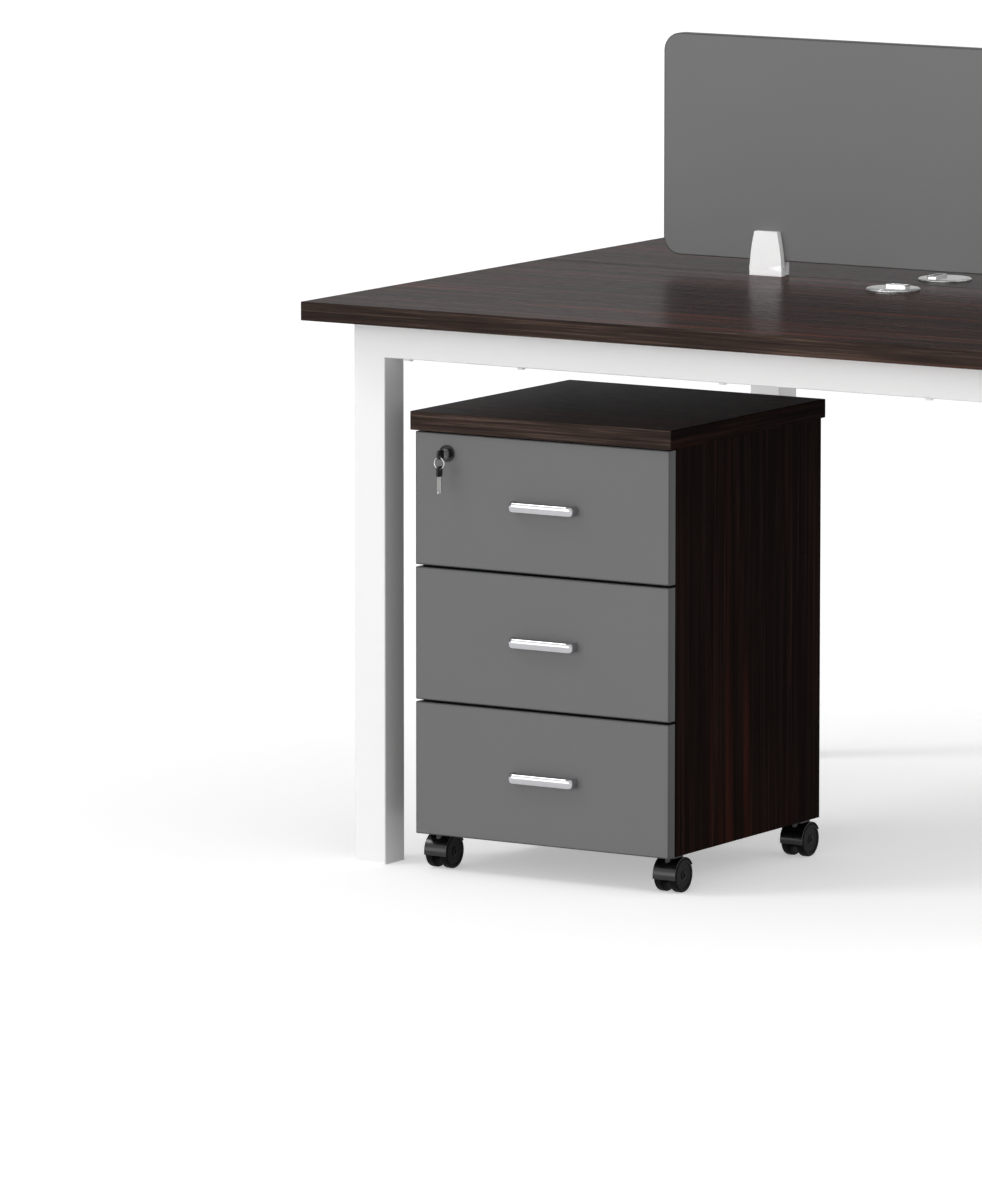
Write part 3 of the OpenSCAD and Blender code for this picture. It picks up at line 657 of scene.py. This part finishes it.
@dataclass
class Underframe:
    """The white steel frame: legs, rails and beam, with its ground welds."""

    leg_x: float = 557.0
    leg_y: float = 538.0
    leg: float = 48.0
    corner: float = 2.0
    rail_low: float = 675.0
    rail_top: float = 725.0

    def dress(self) -> None:
        """Gives the frame's CAD nodes their finishes."""
        legs = [f"leg_{a}_{b}" for a in ("front", "rear") for b in ("left", "right")]
        dress_nodes(WHITE_COAT, *legs, "rail_front", "rail_rear", "cross_rail_left",
                    "cross_rail_right", "centre_beam", "connector_screws", "worktop_screws")
        dress_nodes(ZINC, "rail_connectors")
        dress_nodes(WHITE_PLASTIC, "leg_end_caps")

    def welds(self) -> None:
        """Fills the grooves where rails meet the legs' round corners, ground flush."""
        blank = Blank()
        r = self.corner
        inner = (self.leg_x - self.leg, self.leg_y - self.leg)
        for sx, sy in ((-1, -1), (-1, 1), (1, -1), (1, 1)):
            for x, y in ((inner[0], self.leg_y - r), (self.leg_x - r, inner[1])):
                xs, ys = sorted((sx * x, sx * (x + r))), sorted((sy * y, sy * (y + r)))
                blank.box((xs[0], ys[0], self.rail_low + r), (xs[1], ys[1], self.rail_top))
        blank.finish("frame_welds", "workstation", WHITE_COAT)

    def build(self) -> None:
        """Dresses the frame and adds its welds."""
        self.dress()
        self.welds()


@dataclass
class Screen:
    """The grey divider screen and the white clips that carry it."""

    half_width: float = 400.0
    half_thickness: float = 8.0
    low: float = 770.0
    high: float = 1070.0
    corner: float = 25.0
    band: float = 1.5
    arris: float = 0.8
    desk: float = 750.0
    clip_x: float = 235.0
    clip_height: float = 60.0
    jaw_base: float = 50.0
    jaw_top: float = 35.0
    jaw: float = 10.0
    body_width: float = 40.0
    wall_top: float = 28.0
    wall: float = 4.0
    play: float = 0.1
    cheek_round: float = 0.8
    block_round: float = 0.6
    screw_up: float = 11.0
    screw_hole: float = 4.1
    cap_depth: float = 1.4
    cap_proud: float = 0.3

    def panel(self) -> None:
        """Makes the screen's board and its edging."""
        Board("screen_panel", "workstation", (-self.half_width, -self.half_thickness, self.low),
              (self.half_width, self.half_thickness, self.high), Axis.Y, SCREEN_BOARD,
              (SCREEN_EDGE, SCREEN_EDGE), self.band, self.arris, self.corner).build()

    def cheek(self, base: float, top: float, thickness: float, hole: bool) -> Blank:
        """Makes an upright plate that narrows upwards in two shallow arcs.

        Args:
            base: Width at its foot.
            top: Width at its top.
            thickness: Thickness along its own z.
            hole: True for a screw hole low in its middle.

        Returns:
            The plate as a blank: x across, y up from its foot, z its thickness.
        """
        blank = Blank()
        height, lean = self.clip_height, (base - top) / 2
        arc = (height * height + lean * lean) / (2 * lean)
        blank.sheet((base, height), 0)
        blank.place(at((0, height / 2, 0)))
        sides = [e for e in blank.bm.edges if abs(e.verts[0].co.x - e.verts[1].co.x) < 0.01]
        bmesh.ops.subdivide_edges(blank.bm, edges=sides, cuts=10)
        for vert in blank.bm.verts:
            inwards = arc - math.sqrt(arc * arc - vert.co.y ** 2)
            vert.co.x -= math.copysign(inwards, vert.co.x)
        if hole:
            blank.punch(self.screw_hole, 32, 0, self.screw_up)
        blank.thicken(thickness)
        blank.outwards()
        rim = blank.sharp_edges(60, lambda m: not hole or (
            m.x ** 2 + (m.y - self.screw_up) ** 2) > (self.screw_hole + 0.5) ** 2)
        blank.round_off(rim, self.cheek_round)
        return blank

    def clip(self, side: str, x: float) -> None:
        """Makes a clip's jaw, its body and the cap over its jaw screw.

        Args:
            side: Its side in the names of its pieces.
            x: Its middle.
        """
        stand = turned(90, "X")
        jaw = self.cheek(self.jaw_base, self.jaw_top, self.jaw, True)
        jaw.place(at((x, -self.half_thickness, self.desk)) @ stand)
        jaw.finish(f"clip_jaw_{side}_moulding", "workstation", WHITE_PLASTIC, f"clip_jaw_{side}")
        back = self.half_thickness + self.play + self.wall
        body = self.cheek(self.body_width, self.wall_top, self.wall, False)
        body.place(at((x, back, self.desk)) @ stand)
        block = Blank()
        block.box((x - self.body_width / 2, -self.half_thickness, self.desk),
                  (x + self.body_width / 2, back - 1, self.low))
        block.soften(50, self.block_round)
        body.join(block)
        body.finish(f"clip_body_{side}_moulding", "workstation", WHITE_PLASTIC,
                    f"clip_body_{side}")
        cap = Blank()
        radius, front = self.screw_hole - self.play, -self.half_thickness - self.jaw
        cap.lathe([(0, -self.cap_depth), (radius, -self.cap_depth), (radius, -0.1),
                   (radius - 0.4, self.cap_proud), (0, self.cap_proud)],
                  at((x, front, self.desk + self.screw_up)) @ stand, 40)
        cap.finish(f"clip_cap_{side}", "workstation", WHITE_PLASTIC)

    def build(self) -> None:
        """Makes the screen and its clips, whose screws keep their CAD shape."""
        self.panel()
        self.clip("left", -self.clip_x)
        self.clip("right", self.clip_x)
        dress_nodes(WHITE_PLASTIC, "clip_screws")


@dataclass
class Grommet:
    """A cable grommet: a flanged liner and a turning cap with its raised cable slot."""

    side: str
    centre: Flat
    turn: float
    desk: float = 750.0
    flange: float = 36.0
    flange_height: float = 3.0
    flange_slope: float = 1.2
    liner: float = 29.7
    liner_depth: float = 22.0
    bore: float = 27.7
    cap: float = 31.2
    cap_play: float = 0.1
    ledge: float = 1.0
    cap_thickness: float = 2.3
    slot: Flat = (26.0, 9.0)
    slot_corner: float = 0.8
    collar: float = 3.0
    collar_height: float = 3.0
    slot_out: float = 11.86
    rounding: float = 0.5

    def liner_piece(self) -> None:
        """Turns the liner with its round-edged flange."""
        blank = Blank()
        top, seat = self.flange_height, self.cap + self.cap_play
        blank.lathe([(self.bore, -self.liner_depth), (self.liner, -self.liner_depth),
                     (self.liner, 0), (self.flange, 0), (self.flange, top - self.flange_slope),
                     (self.flange - self.flange_slope, top), (seat, top), (seat, self.ledge),
                     (self.bore, self.ledge)],
                    at((*self.centre, self.desk)), 96, closed=True)
        blank.soften(30, 0.35, 2)
        blank.finish(f"grommet_liner_{self.side}_flange", "workstation", SILVER,
                     f"grommet_liner_{self.side}")

    def slotted(self, size: Flat, radius: float, height: float, lift: float,
                outer_offset: float) -> Blank:
        """Makes a plate with the cable slot through it.

        Args:
            size: Width and depth of the plate.
            radius: Corner radius of the plate.
            height: Thickness of the plate.
            lift: Height of its underside above the cap's underside.
            outer_offset: Place of the plate's middle from the cap's middle.

        Returns:
            The plate as a blank in the cap's own frame.
        """
        blank, inner = Blank(), Blank()
        blank.sheet(size, radius, 24)
        blank.place(at((0, outer_offset, 0)))
        inner.sheet(self.slot, self.slot_corner, 3)
        inner.place(at((0, self.slot_out, 0)))
        blank.open()
        inner.open()
        blank.join(inner)
        blank.fill_between()
        blank.thicken(height)
        blank.outwards()
        blank.round_off(blank.sharp_edges(60, lambda m: m.z > height - 0.01), self.rounding)
        blank.place(at((0, 0, lift)))
        return blank

    def cap_piece(self) -> None:
        """Makes the cap's disc with its raised slot collar."""
        radius, half = self.cap - 0.01, self.cap_thickness / 2
        disc = self.slotted((2 * self.cap - 0.01,) * 2, radius, self.cap_thickness, 0.0, 0.0)
        disc.join(self.slotted(tuple(s + 2 * self.collar for s in self.slot), self.collar,
                               half + self.collar_height, half, self.slot_out))
        disc.place(at((*self.centre, self.desk + self.ledge))
                   @ turned(self.turn, "Z"))
        disc.finish(f"grommet_cap_{self.side}_disc", f"cap_{self.side}", SILVER,
                    f"grommet_cap_{self.side}")

    def build(self) -> None:
        """Makes the liner and the cap."""
        self.liner_piece()
        self.cap_piece()


@dataclass
class Carcass:
    """The pedestal's dark boards."""

    left: float = -450.0
    right: float = -62.0
    front: float = -537.0
    back: float = -165.0
    low: float = 50.0
    high: float = 586.0
    panel: float = 16.0
    top_low: Point = (-455.0, -561.0, 586.0)
    top_high: Point = (-57.0, -162.0, 611.0)
    top_band: float = 2.0
    top_arris: float = 1.3

    def build(self) -> None:
        """Makes the five boards and dresses the hardware inside them."""
        inner = (self.left + self.panel, self.right - self.panel)
        Board("pedestal_top", "pedestal", self.top_low, self.top_high, Axis.Z, CARCASS_X,
              (WOOD_EDGE_X, SHADED_CARCASS_Y), self.top_band, self.top_arris).build()
        for name, x in (("pedestal_side_left", self.left), ("pedestal_side_right", inner[1])):
            Board(name, "pedestal", (x, self.front, self.low),
                  (x + self.panel, self.back, self.high), Axis.X, SHADED_CARCASS_Z,
                  (SHADED_CARCASS_Y, SHADED_CARCASS_Z)).build()
        Board("pedestal_back", "pedestal", (inner[0], self.back - self.panel, self.low),
              (inner[1], self.back, self.high), Axis.Y, SHADED_CARCASS_Z,
              (SHADED_CARCASS_Z, SHADED_CARCASS_Y)).build()
        Board("pedestal_base", "pedestal", (inner[0], self.front, self.low),
              (inner[1], self.back - self.panel, self.low + self.panel), Axis.Z, CARCASS_X,
              (CARCASS_X, SHADED_CARCASS_Y)).build()
        dress_nodes(ZINC, "lock_rail", "carcass_runners")
        dress_nodes(DARK_METAL, "castor_plates")


@dataclass
class Drawer:
    """A drawer: its grey front, its folded steel tray and its chrome handle."""

    place: str
    front_low: float
    tray_low: float
    lock: Optional[Flat] = None
    lock_hole: float = 9.1
    left: float = -450.0
    right: float = -62.0
    face: float = -555.0
    front_thickness: float = 16.0
    front_height: float = 176.0
    front_band: float = 1.5
    front_arris: float = 0.9
    tray_half: float = 165.3
    tray_depth: float = 350.0
    tray_height: float = 110.0
    sheet: float = 1.5
    fold: float = 2.5
    rim: float = 1.2
    rim_height: float = 9.0
    rib_half: float = 5.0
    rib_short: float = 25.0
    rib_height: float = 1.0
    screw_share: float = 0.7
    screw_heights: Flat = (25.0, 80.0)
    screw_head: tuple[Flat, ...] = ((0, 2.0), (1.6, 1.9), (3.4, 1.2), (4.0, 0.0), (0, 0.0))
    handle_length: float = 100.0
    handle_reach: float = 18.0
    handle_shift: float = 6.0
    handle_height: float = 13.0
    bar: float = 5.0
    bend: float = 9.0

    @property
    def middle(self) -> float:
        """The drawer's middle along X."""
        return (self.left + self.right) / 2

    def front(self) -> None:
        """Makes the front board with its edging, and with the lock's hole where it has one."""
        hole = (self.lock[1], self.lock[0], self.lock_hole) if self.lock else None
        Board(f"drawer_front_{self.place}", f"drawer_{self.place}",
              (self.left, self.face, self.front_low),
              (self.right, self.face + self.front_thickness, self.front_low + self.front_height),
              Axis.Y, GREY_BOARD, (GREY_EDGE_AND_SHADE, GREY_EDGE_AND_SHADE), self.front_band, self.front_arris,
              hole=hole).build()

    def shell(self, start: float) -> Blank:
        """Folds the tray's floor and walls.

        Args:
            start: Where its front wall stands.

        Returns:
            The folded sheet as a blank.
        """
        blank = Blank()
        blank.box((self.middle - self.tray_half, start, self.tray_low),
                  (self.middle + self.tray_half, start + self.tray_depth,
                   self.tray_low + self.tray_height))
        blank.open([f for f in blank.bm.faces if f.normal.z > 0.9])
        blank.round_off([e for e in blank.bm.edges if len(e.link_faces) == 2], self.fold, 4)
        blank.outwards()
        bmesh.ops.solidify(blank.bm, geom=list(blank.bm.faces), thickness=self.sheet)
        return blank

    def tray(self) -> None:
        """Makes the steel tray, with a doubled rim, pressed ribs and its fixing screws."""
        start = self.face + self.front_thickness
        blank = self.shell(start)
        inner, floor = self.tray_half - self.sheet, self.tray_low + self.sheet
        rim = Blank()
        rim.sheet((2 * inner, self.tray_depth - 2 * self.sheet), self.rim, 4)
        rim.thicken(self.rim_height)
        rim.hollow([f for f in rim.bm.faces if abs(f.normal.z) > 0.99], self.rim, False)
        rim.place(at((self.middle, start + self.tray_depth / 2,
                                      self.tray_low + self.tray_height - self.rim_height)))
        blank.join(rim)
        reach = inner - self.rib_short
        for part in (0.25, 0.5, 0.75):
            y = start + self.tray_depth * part
            rib = Blank()
            rib.box((self.middle - reach, y - self.rib_half, floor - self.rib_height / 2),
                    (self.middle + reach, y + self.rib_half, floor + self.rib_height))
            rib.soften(50, 0.7, 2)
            blank.join(rib)
        for side in (-1, 1):
            for up in self.screw_heights:
                spot = (self.middle + side * self.screw_share * inner, start + self.sheet,
                        self.tray_low + up)
                blank.lathe(self.screw_head, at(spot) @ turned(-90, "X"), 24)
        blank.finish(f"drawer_tray_{self.place}", f"drawer_{self.place}", SHEET_COAT,
                     f"drawer_box_{self.place}")
        dress_nodes(ZINC, f"drawer_runners_{self.place}")

    def handle(self) -> None:
        """Sweeps the handle's oval bar from foot to foot."""
        blank = Blank()
        height = self.front_low + self.front_height / 2
        left = self.middle + self.handle_shift - self.handle_length / 2
        straight = self.handle_reach - self.bend
        across = self.handle_length - 2 * self.bend
        made = bmesh.ops.create_circle(blank.bm, cap_ends=True, segments=32, radius=0.5)["verts"]
        bmesh.ops.scale(blank.bm, vec=(self.bar, self.handle_height, 1), verts=made)
        end = made[0].link_faces[0]
        blank.place(at((left + self.bar / 2, self.face, height))
                    @ turned(90, "X"))

        def bend(end: Face, x: float) -> Face:
            """Bends the bar's end by a quarter turn round this place and returns it."""
            made = bmesh.ops.spin(blank.bm, geom=[end], cent=(x, self.face - straight, height),
                                  axis=(0, 0, 1), dvec=(0, 0, 0), angle=math.radians(90),
                                  steps=10, use_merge=False, use_duplicate=False)["geom_last"]
            return next(g for g in made if isinstance(g, Face))

        end = blank.extrude([end], (0, -straight, 0))[0]
        end = bend(end, left + self.bend)
        end = blank.extrude([end], (across, 0, 0))[0]
        end = bend(end, left + self.bend + across)
        blank.extrude([end], (0, straight, 0))
        blank.finish(f"handle_{self.place}_bow", f"drawer_{self.place}", CHROME,
                     f"handle_{self.place}")

    def build(self) -> None:
        """Makes the drawer's pieces."""
        self.front()
        self.tray()
        self.handle()


@dataclass
class Lock:
    """The cam lock with its key, the ring and the second key that hangs from it."""

    x: float = -401.0
    z: float = 558.0
    face: float = -555.0
    collar: float = 11.0
    collar_thickness: float = 3.0
    collar_rim: float = 1.6
    collar_dish: float = 0.7
    barrel: float = 9.0
    bore: float = 6.6
    tail: float = 36.5
    grip_start: float = -565.0
    grip: Flat = (14.0, 12.0)
    grip_thickness: float = 2.6
    grip_round: float = 0.45
    blade: float = 23.0
    blade_width: float = 6.5
    blade_root: float = 2.0
    web: float = 1.1
    rib: float = 2.0
    groove_half: float = 0.9
    rib_short: float = 1.2
    hole: float = 2.0
    hole_edge: float = 4.5
    key_drop: float = 2.5
    ring_y: float = -574.5
    ring_z: float = 547.0
    ring: float = 7.5
    wire: float = 0.4
    turns: float = 1.94
    pitch: float = 0.86
    spare_hole_z: float = 538.5

    def barrel_piece(self) -> None:
        """Turns the barrel with its dished collar."""
        blank = Blank()
        thick, rim = self.collar_thickness, self.collar - self.collar_rim
        dish = thick - self.collar_dish
        blank.lathe([(self.bore, -self.tail), (self.barrel, -self.tail), (self.barrel, 0),
                     (self.collar, 0), (self.collar, thick), (rim, thick), (rim - 0.4, dish),
                     (self.bore, dish)],
                    at((self.x, self.face, self.z)) @ turned(90, "X"), 72,
                    closed=True)
        blank.soften(30, 0.3, 2)
        blank.finish("lock_barrel_collar", "drawer_upper", BLACK_PLASTIC, "lock_barrel")
        dress_nodes(PLUG_METAL, "lock_plug")
        dress_nodes(ZINC, "lock_cam")

    def key(self, node: str, body: str, place: Matrix, drop: float) -> None:
        """Makes a key's moulded grip and its milled blade.

        Args:
            node: The CAD node that it stands for.
            body: The body that it rides on.
            place: Takes the key's own frame, blade along x, to the part's.
            drop: How far the ring's hole lies from the key's axis.
        """
        length, width = self.grip
        grip = Blank()
        grip.sheet((length, width), width / 4, 8)
        grip.place(at((-length / 2, 0, 0)))
        grip.punch(self.hole, 24, self.hole_edge - length, -drop)
        grip.thicken(self.grip_thickness)
        grip.soften(60, self.grip_round)
        grip.place(place @ at((0, 0, -self.grip_thickness / 2)))
        grip.finish(f"{node}_grip", body, BLACK_PLASTIC, node)
        blade = Blank()
        half = self.blade_width / 2
        for low, high, thick, short in ((-half, half, self.web, 0.0),
                                        (-half, -self.groove_half, self.rib, self.rib_short),
                                        (self.groove_half, half, self.rib, self.rib_short)):
            part = Blank()
            part.box((-self.blade_root, low, -thick / 2), (self.blade - short, high, thick / 2))
            tip = [e for e in part.bm.edges if all(v.co.x > self.blade - 2 for v in e.verts)
                   and abs(e.verts[0].co.y - e.verts[1].co.y) < 0.01
                   and abs(e.verts[0].co.y) > half - 0.01]
            part.round_off(tip, 1.8, 4)
            blade.join(part)
        blade.place(place)
        blade.finish(f"{node}_blade", body, NICKEL, node)

    def ring_piece(self) -> None:
        """Coils the split ring from two turns of wire."""
        blank = Blank()
        made = bmesh.ops.create_circle(blank.bm, cap_ends=True, segments=12,
                                       radius=self.wire)["verts"]
        bmesh.ops.translate(blank.bm, vec=(self.ring, 0, 0), verts=made)
        steps, rise = 110, self.turns * self.pitch
        bmesh.ops.spin(blank.bm, geom=[made[0].link_faces[0]], cent=(0, 0, 0), axis=(0, 1, 0),
                       dvec=(0, rise / steps, 0), angle=self.turns * math.tau, steps=steps,
                       use_merge=False, use_duplicate=False)
        blank.place(at((self.x, self.ring_y - rise / 2, self.ring_z))
                    @ turned(-90, "Y"))
        blank.finish("key_ring_coil", "ring", NICKEL, "key_ring")

    def build(self) -> None:
        """Makes the lock, both keys and the ring."""
        self.barrel_piece()
        self.key("lock_key", "key", at((self.x, self.grip_start, self.z))
                 @ turned(90, "Z") @ turned(90, "X"), self.key_drop)
        spare_z = self.spare_hole_z + self.hole_edge - self.grip[0]
        self.key("spare_key", "hanging_key",
                 at((self.x, self.ring_y, spare_z)) @ turned(90, "Y"), 0.0)
        self.ring_piece()


@dataclass
class Castor:
    """A twin-wheel castor: its hood with the axle, and its wheels."""

    corner: str
    swivel: Flat
    trail: float = 12.0
    wheel: float = 22.5
    wheel_width: float = 11.0
    half_width: float = 17.0
    hood: float = 24.3
    hood_wall: float = 1.2
    web: float = 10.0
    boss: float = 4.8
    axle: float = 2.5
    axle_inset: float = 1.5
    first_angle: float = 30.0
    last_angle: float = 190.0
    sweep_steps: int = 30
    rim_share: float = 0.80
    hub: float = 6.6
    hub_face: float = 0.3
    tread: float = 1.3

    @property
    def place(self) -> Matrix:
        """Takes the castor's own frame, with the axle at its origin, to the part's."""
        return at((self.swivel[0], self.swivel[1] + self.trail, self.wheel))

    def swept(self, inner: float, outer: float, half: float) -> Blank:
        """Sweeps a strip round the axle, over the wheels from the back to the front.

        Args:
            inner: Inner radius.
            outer: Outer radius.
            half: Half its width along the axle.

        Returns:
            The strip as a blank.
        """
        blank = Blank()
        face = blank.sheet((2 * half, outer - inner), 0)
        blank.place(at((0, (outer + inner) / 2, 0)))
        blank.place(turned(self.first_angle, "X"))
        bmesh.ops.spin(blank.bm, geom=[face], cent=(0, 0, 0), axis=(1, 0, 0), dvec=(0, 0, 0),
                       angle=math.radians(self.last_angle - self.first_angle),
                       steps=self.sweep_steps, use_merge=False, use_duplicate=False)
        bmesh.ops.remove_doubles(blank.bm, verts=blank.bm.verts, dist=0.001)
        blank.outwards()
        return blank

    def hood_piece(self) -> None:
        """Makes the hood: the band over the wheels, the web, the hub and the stem's boss."""
        body = f"castor_{self.corner}"
        inside = self.hood - self.hood_wall
        band = self.swept(inside, self.hood, self.half_width)
        band.soften(60, 0.35, 2)
        band.join(self.swept(0.5, inside + 0.2, self.web / 2))
        across = Axis.X.upright()
        band.cylinder(self.wheel / 2, -self.web / 2, self.web / 2, across)
        band.cylinder(self.boss, 0, self.hood + 0.3, at((0, -self.trail, 0)), 36)
        band.place(self.place)
        band.finish(f"castor_hood_{self.corner}_moulding", body, BLACK_PLASTIC,
                    f"castor_hood_{self.corner}")
        pin = Blank()
        reach = self.half_width - self.axle_inset
        pin.cylinder(self.axle, -reach, reach, across, 32)
        pin.soften(60, 0.4, 2)
        pin.place(self.place)
        pin.finish(f"castor_axle_{self.corner}", body, DARK_METAL)

    def wheel_piece(self) -> None:
        """Turns both wheels with their dished discs and softer treads."""
        blank = Blank()
        r, out, inn = self.wheel, self.half_width, self.half_width - self.wheel_width
        rim, bore, hub = self.rim_share * r, self.axle + 0.1, self.hub
        profile = [(bore, inn), (r - 1.6, inn), (r - 0.5, inn + 0.5), (r, inn + 1.8),
                   (r, out - 2.2), (r - 0.6, out - 0.7), (r - 1.9, out), (rim, out),
                   (rim - 0.7, out - 0.9), (hub, out - 1.1), (hub - 0.6, out - 0.5),
                   (hub - 2.0, out - self.hub_face), (bore, out - self.hub_face)]
        for turn in (90, -90):
            blank.lathe(profile, turned(turn, "Y"), 72, closed=True)
        for face in blank.bm.faces:
            middle = face.calc_center_median()
            face.material_index = 1 if math.hypot(middle.y, middle.z) > r - self.tread else 0
        blank.place(self.place)
        blank.finish(f"castor_wheels_{self.corner}_pair", f"wheels_{self.corner}",
                     (WHEEL_NYLON, TREAD), f"castor_wheels_{self.corner}")

    def build(self) -> None:
        """Makes the hood, the axle and the wheels."""
        self.hood_piece()
        self.wheel_piece()


@dataclass(frozen=True)
class Glow:
    """A soft patch of light on the room's walls and ceiling."""

    toward: Point
    start: float
    end: float
    strength: float


@dataclass
class Studio:
    """The floor, lamp, world and camera of the photograph."""

    lens: float = 298.965
    camera: Point = (6495.19, -11490.77, 2237.41)
    yaw: float = -31.982
    pitch: float = 8.245
    floor_half: float = 60.0
    floor_drop: float = 0.4
    floor_tone: str = "#F3F3F3"
    floor_bounce: str = "#D4D4D4"
    lift: float = 0.38
    key_strength: float = 0.52
    key_from: Point = (-0.50, -0.45, 0.74)
    key_size: float = 16.0
    room: float = 0.25
    glows: tuple[Glow, ...] = (
        Glow((0.0, 0.0, 1.0), 0.1, 0.7, 0.21),
        Glow((1.0, 0.0, 0.0), 0.2, 0.9, 0.6),
        Glow((0.2, -0.98, 0.0), 0.75, 0.95, 1.2),
        Glow((-0.1, -0.7, -0.707), 0.3, 0.7, 3.3),
        Glow((-0.485, -0.76, 0.43), 0.93, 0.975, 0.75),
        Glow((-0.53, 0.84, 0.12), 0.8, 0.95, 0.3),
    )

    def backdrop(self) -> None:
        """Lays the white floor, which shows its shadow and is white where none falls."""
        made = bpy.data.materials.new("white_studio_floor")
        made.use_nodes = True
        tree = made.node_tree
        tree.nodes.clear()
        path = add(tree, "LightPath")
        seen = path.outputs["Is Camera Ray"]
        for ray in ("Is Glossy Ray", "Is Transmission Ray"):
            seen = add(tree, "Math", {0: seen, 1: path.outputs[ray]}, operation="MAXIMUM")
        tone = blend(tree, seen, self.floor_bounce, self.floor_tone)
        level = add(tree, "Math", {0: seen, 1: self.lift}, operation="MULTIPLY")
        glow = add(tree, "Emission", {"Color": linear("#FFFFFF"), "Strength": level})
        both = add(tree, "AddShader", {0: add(tree, "BsdfDiffuse", {"Color": tone}), 1: glow})
        add(tree, "OutputMaterial", {"Surface": both})
        mesh = bpy.data.meshes.new("studio_floor")
        bm = bmesh.new()
        bmesh.ops.create_grid(bm, x_segments=1, y_segments=1, size=self.floor_half)
        bmesh.ops.translate(bm, vec=(0, 0, -self.floor_drop * MM), verts=bm.verts)
        bm.to_mesh(mesh)
        bm.free()
        mesh.materials.append(made)
        floor = bpy.data.objects.new("studio_floor", mesh)
        bpy.context.scene.collection.objects.link(floor)

    def world(self) -> None:
        """Lights the room softly: a dim room with brighter patches overhead and in front."""
        world = bpy.data.worlds.new("studio_room")
        bpy.context.scene.world = world
        world.use_nodes = True
        tree = world.node_tree
        tree.nodes.clear()
        place = add(tree, "TexCoord").outputs["Generated"]
        level = add(tree, "Math", {0: self.room, 1: 0.0})
        for glow in self.glows:
            facing = add(tree, "VectorMath", {0: place, 1: glow.toward}, operation="DOT_PRODUCT")
            patch = add(tree, "MapRange", {0: facing, 1: glow.start, 2: glow.end,
                                           4: glow.strength}, interpolation_type="SMOOTHSTEP")
            level = add(tree, "Math", {0: level, 1: patch})
        light = add(tree, "Background", {"Color": linear("#FFFFFF"), "Strength": level})
        add(tree, "OutputWorld", {"Surface": light})

    def lamps(self) -> None:
        """Hangs the one large key lamp, from the front left."""
        lamp = bpy.data.lights.new("key_lamp", "SUN")
        lamp.energy = self.key_strength
        lamp.angle = math.radians(self.key_size)
        holder = bpy.data.objects.new("key_lamp", lamp)
        holder.rotation_euler = Vector(self.key_from).to_track_quat("Z", "Y").to_euler()
        bpy.context.scene.collection.objects.link(holder)

    def viewpoint(self) -> None:
        """Sets the camera fitted to the photograph's edges."""
        data = bpy.data.cameras.new("photo_camera")
        data.lens = self.lens
        data.sensor_width = 36.0
        data.clip_start, data.clip_end = 0.5, 400.0
        holder = bpy.data.objects.new("photo_camera", data)
        yaw, pitch = math.radians(self.yaw), math.radians(self.pitch)
        ahead = Vector((math.sin(yaw) * math.cos(pitch), math.cos(yaw) * math.cos(pitch),
                        -math.sin(pitch)))
        holder.location = Vector(self.camera) * MM
        holder.rotation_euler = ahead.to_track_quat("-Z", "Y").to_euler()
        bpy.context.scene.collection.objects.link(holder)
        bpy.context.scene.camera = holder

    def build(self) -> None:
        """Sets up the studio."""
        self.backdrop()
        self.world()
        self.lamps()
        self.viewpoint()
        bpy.context.scene.view_settings.view_transform = "Standard"


def main() -> None:
    """Builds each sub-assembly in order."""
    logging.basicConfig(level=logging.INFO, format="%(name)s: %(message)s")
    Studio().build()
    Worktops().build()
    Underframe().build()
    Screen().build()
    Grommet("front", (-8.0, -70.0), 0.0).build()
    Grommet("rear", (-8.0, 70.0), 90.0).build()
    Carcass().build()
    Drawer("upper", 408.0, 420.0, lock=(-401.0, 558.0)).build()
    Drawer("middle", 229.0, 241.0).build()
    Drawer("lower", 50.0, 72.0).build()
    Lock().build()
    for corner, swivel in (("front_left", (-432.0, -525.0)), ("front_right", (-80.0, -525.0)),
                           ("rear_left", (-432.0, -197.0)), ("rear_right", (-80.0, -197.0))):
        Castor(corner, swivel).build()


if __name__ == "__main__":
    main()
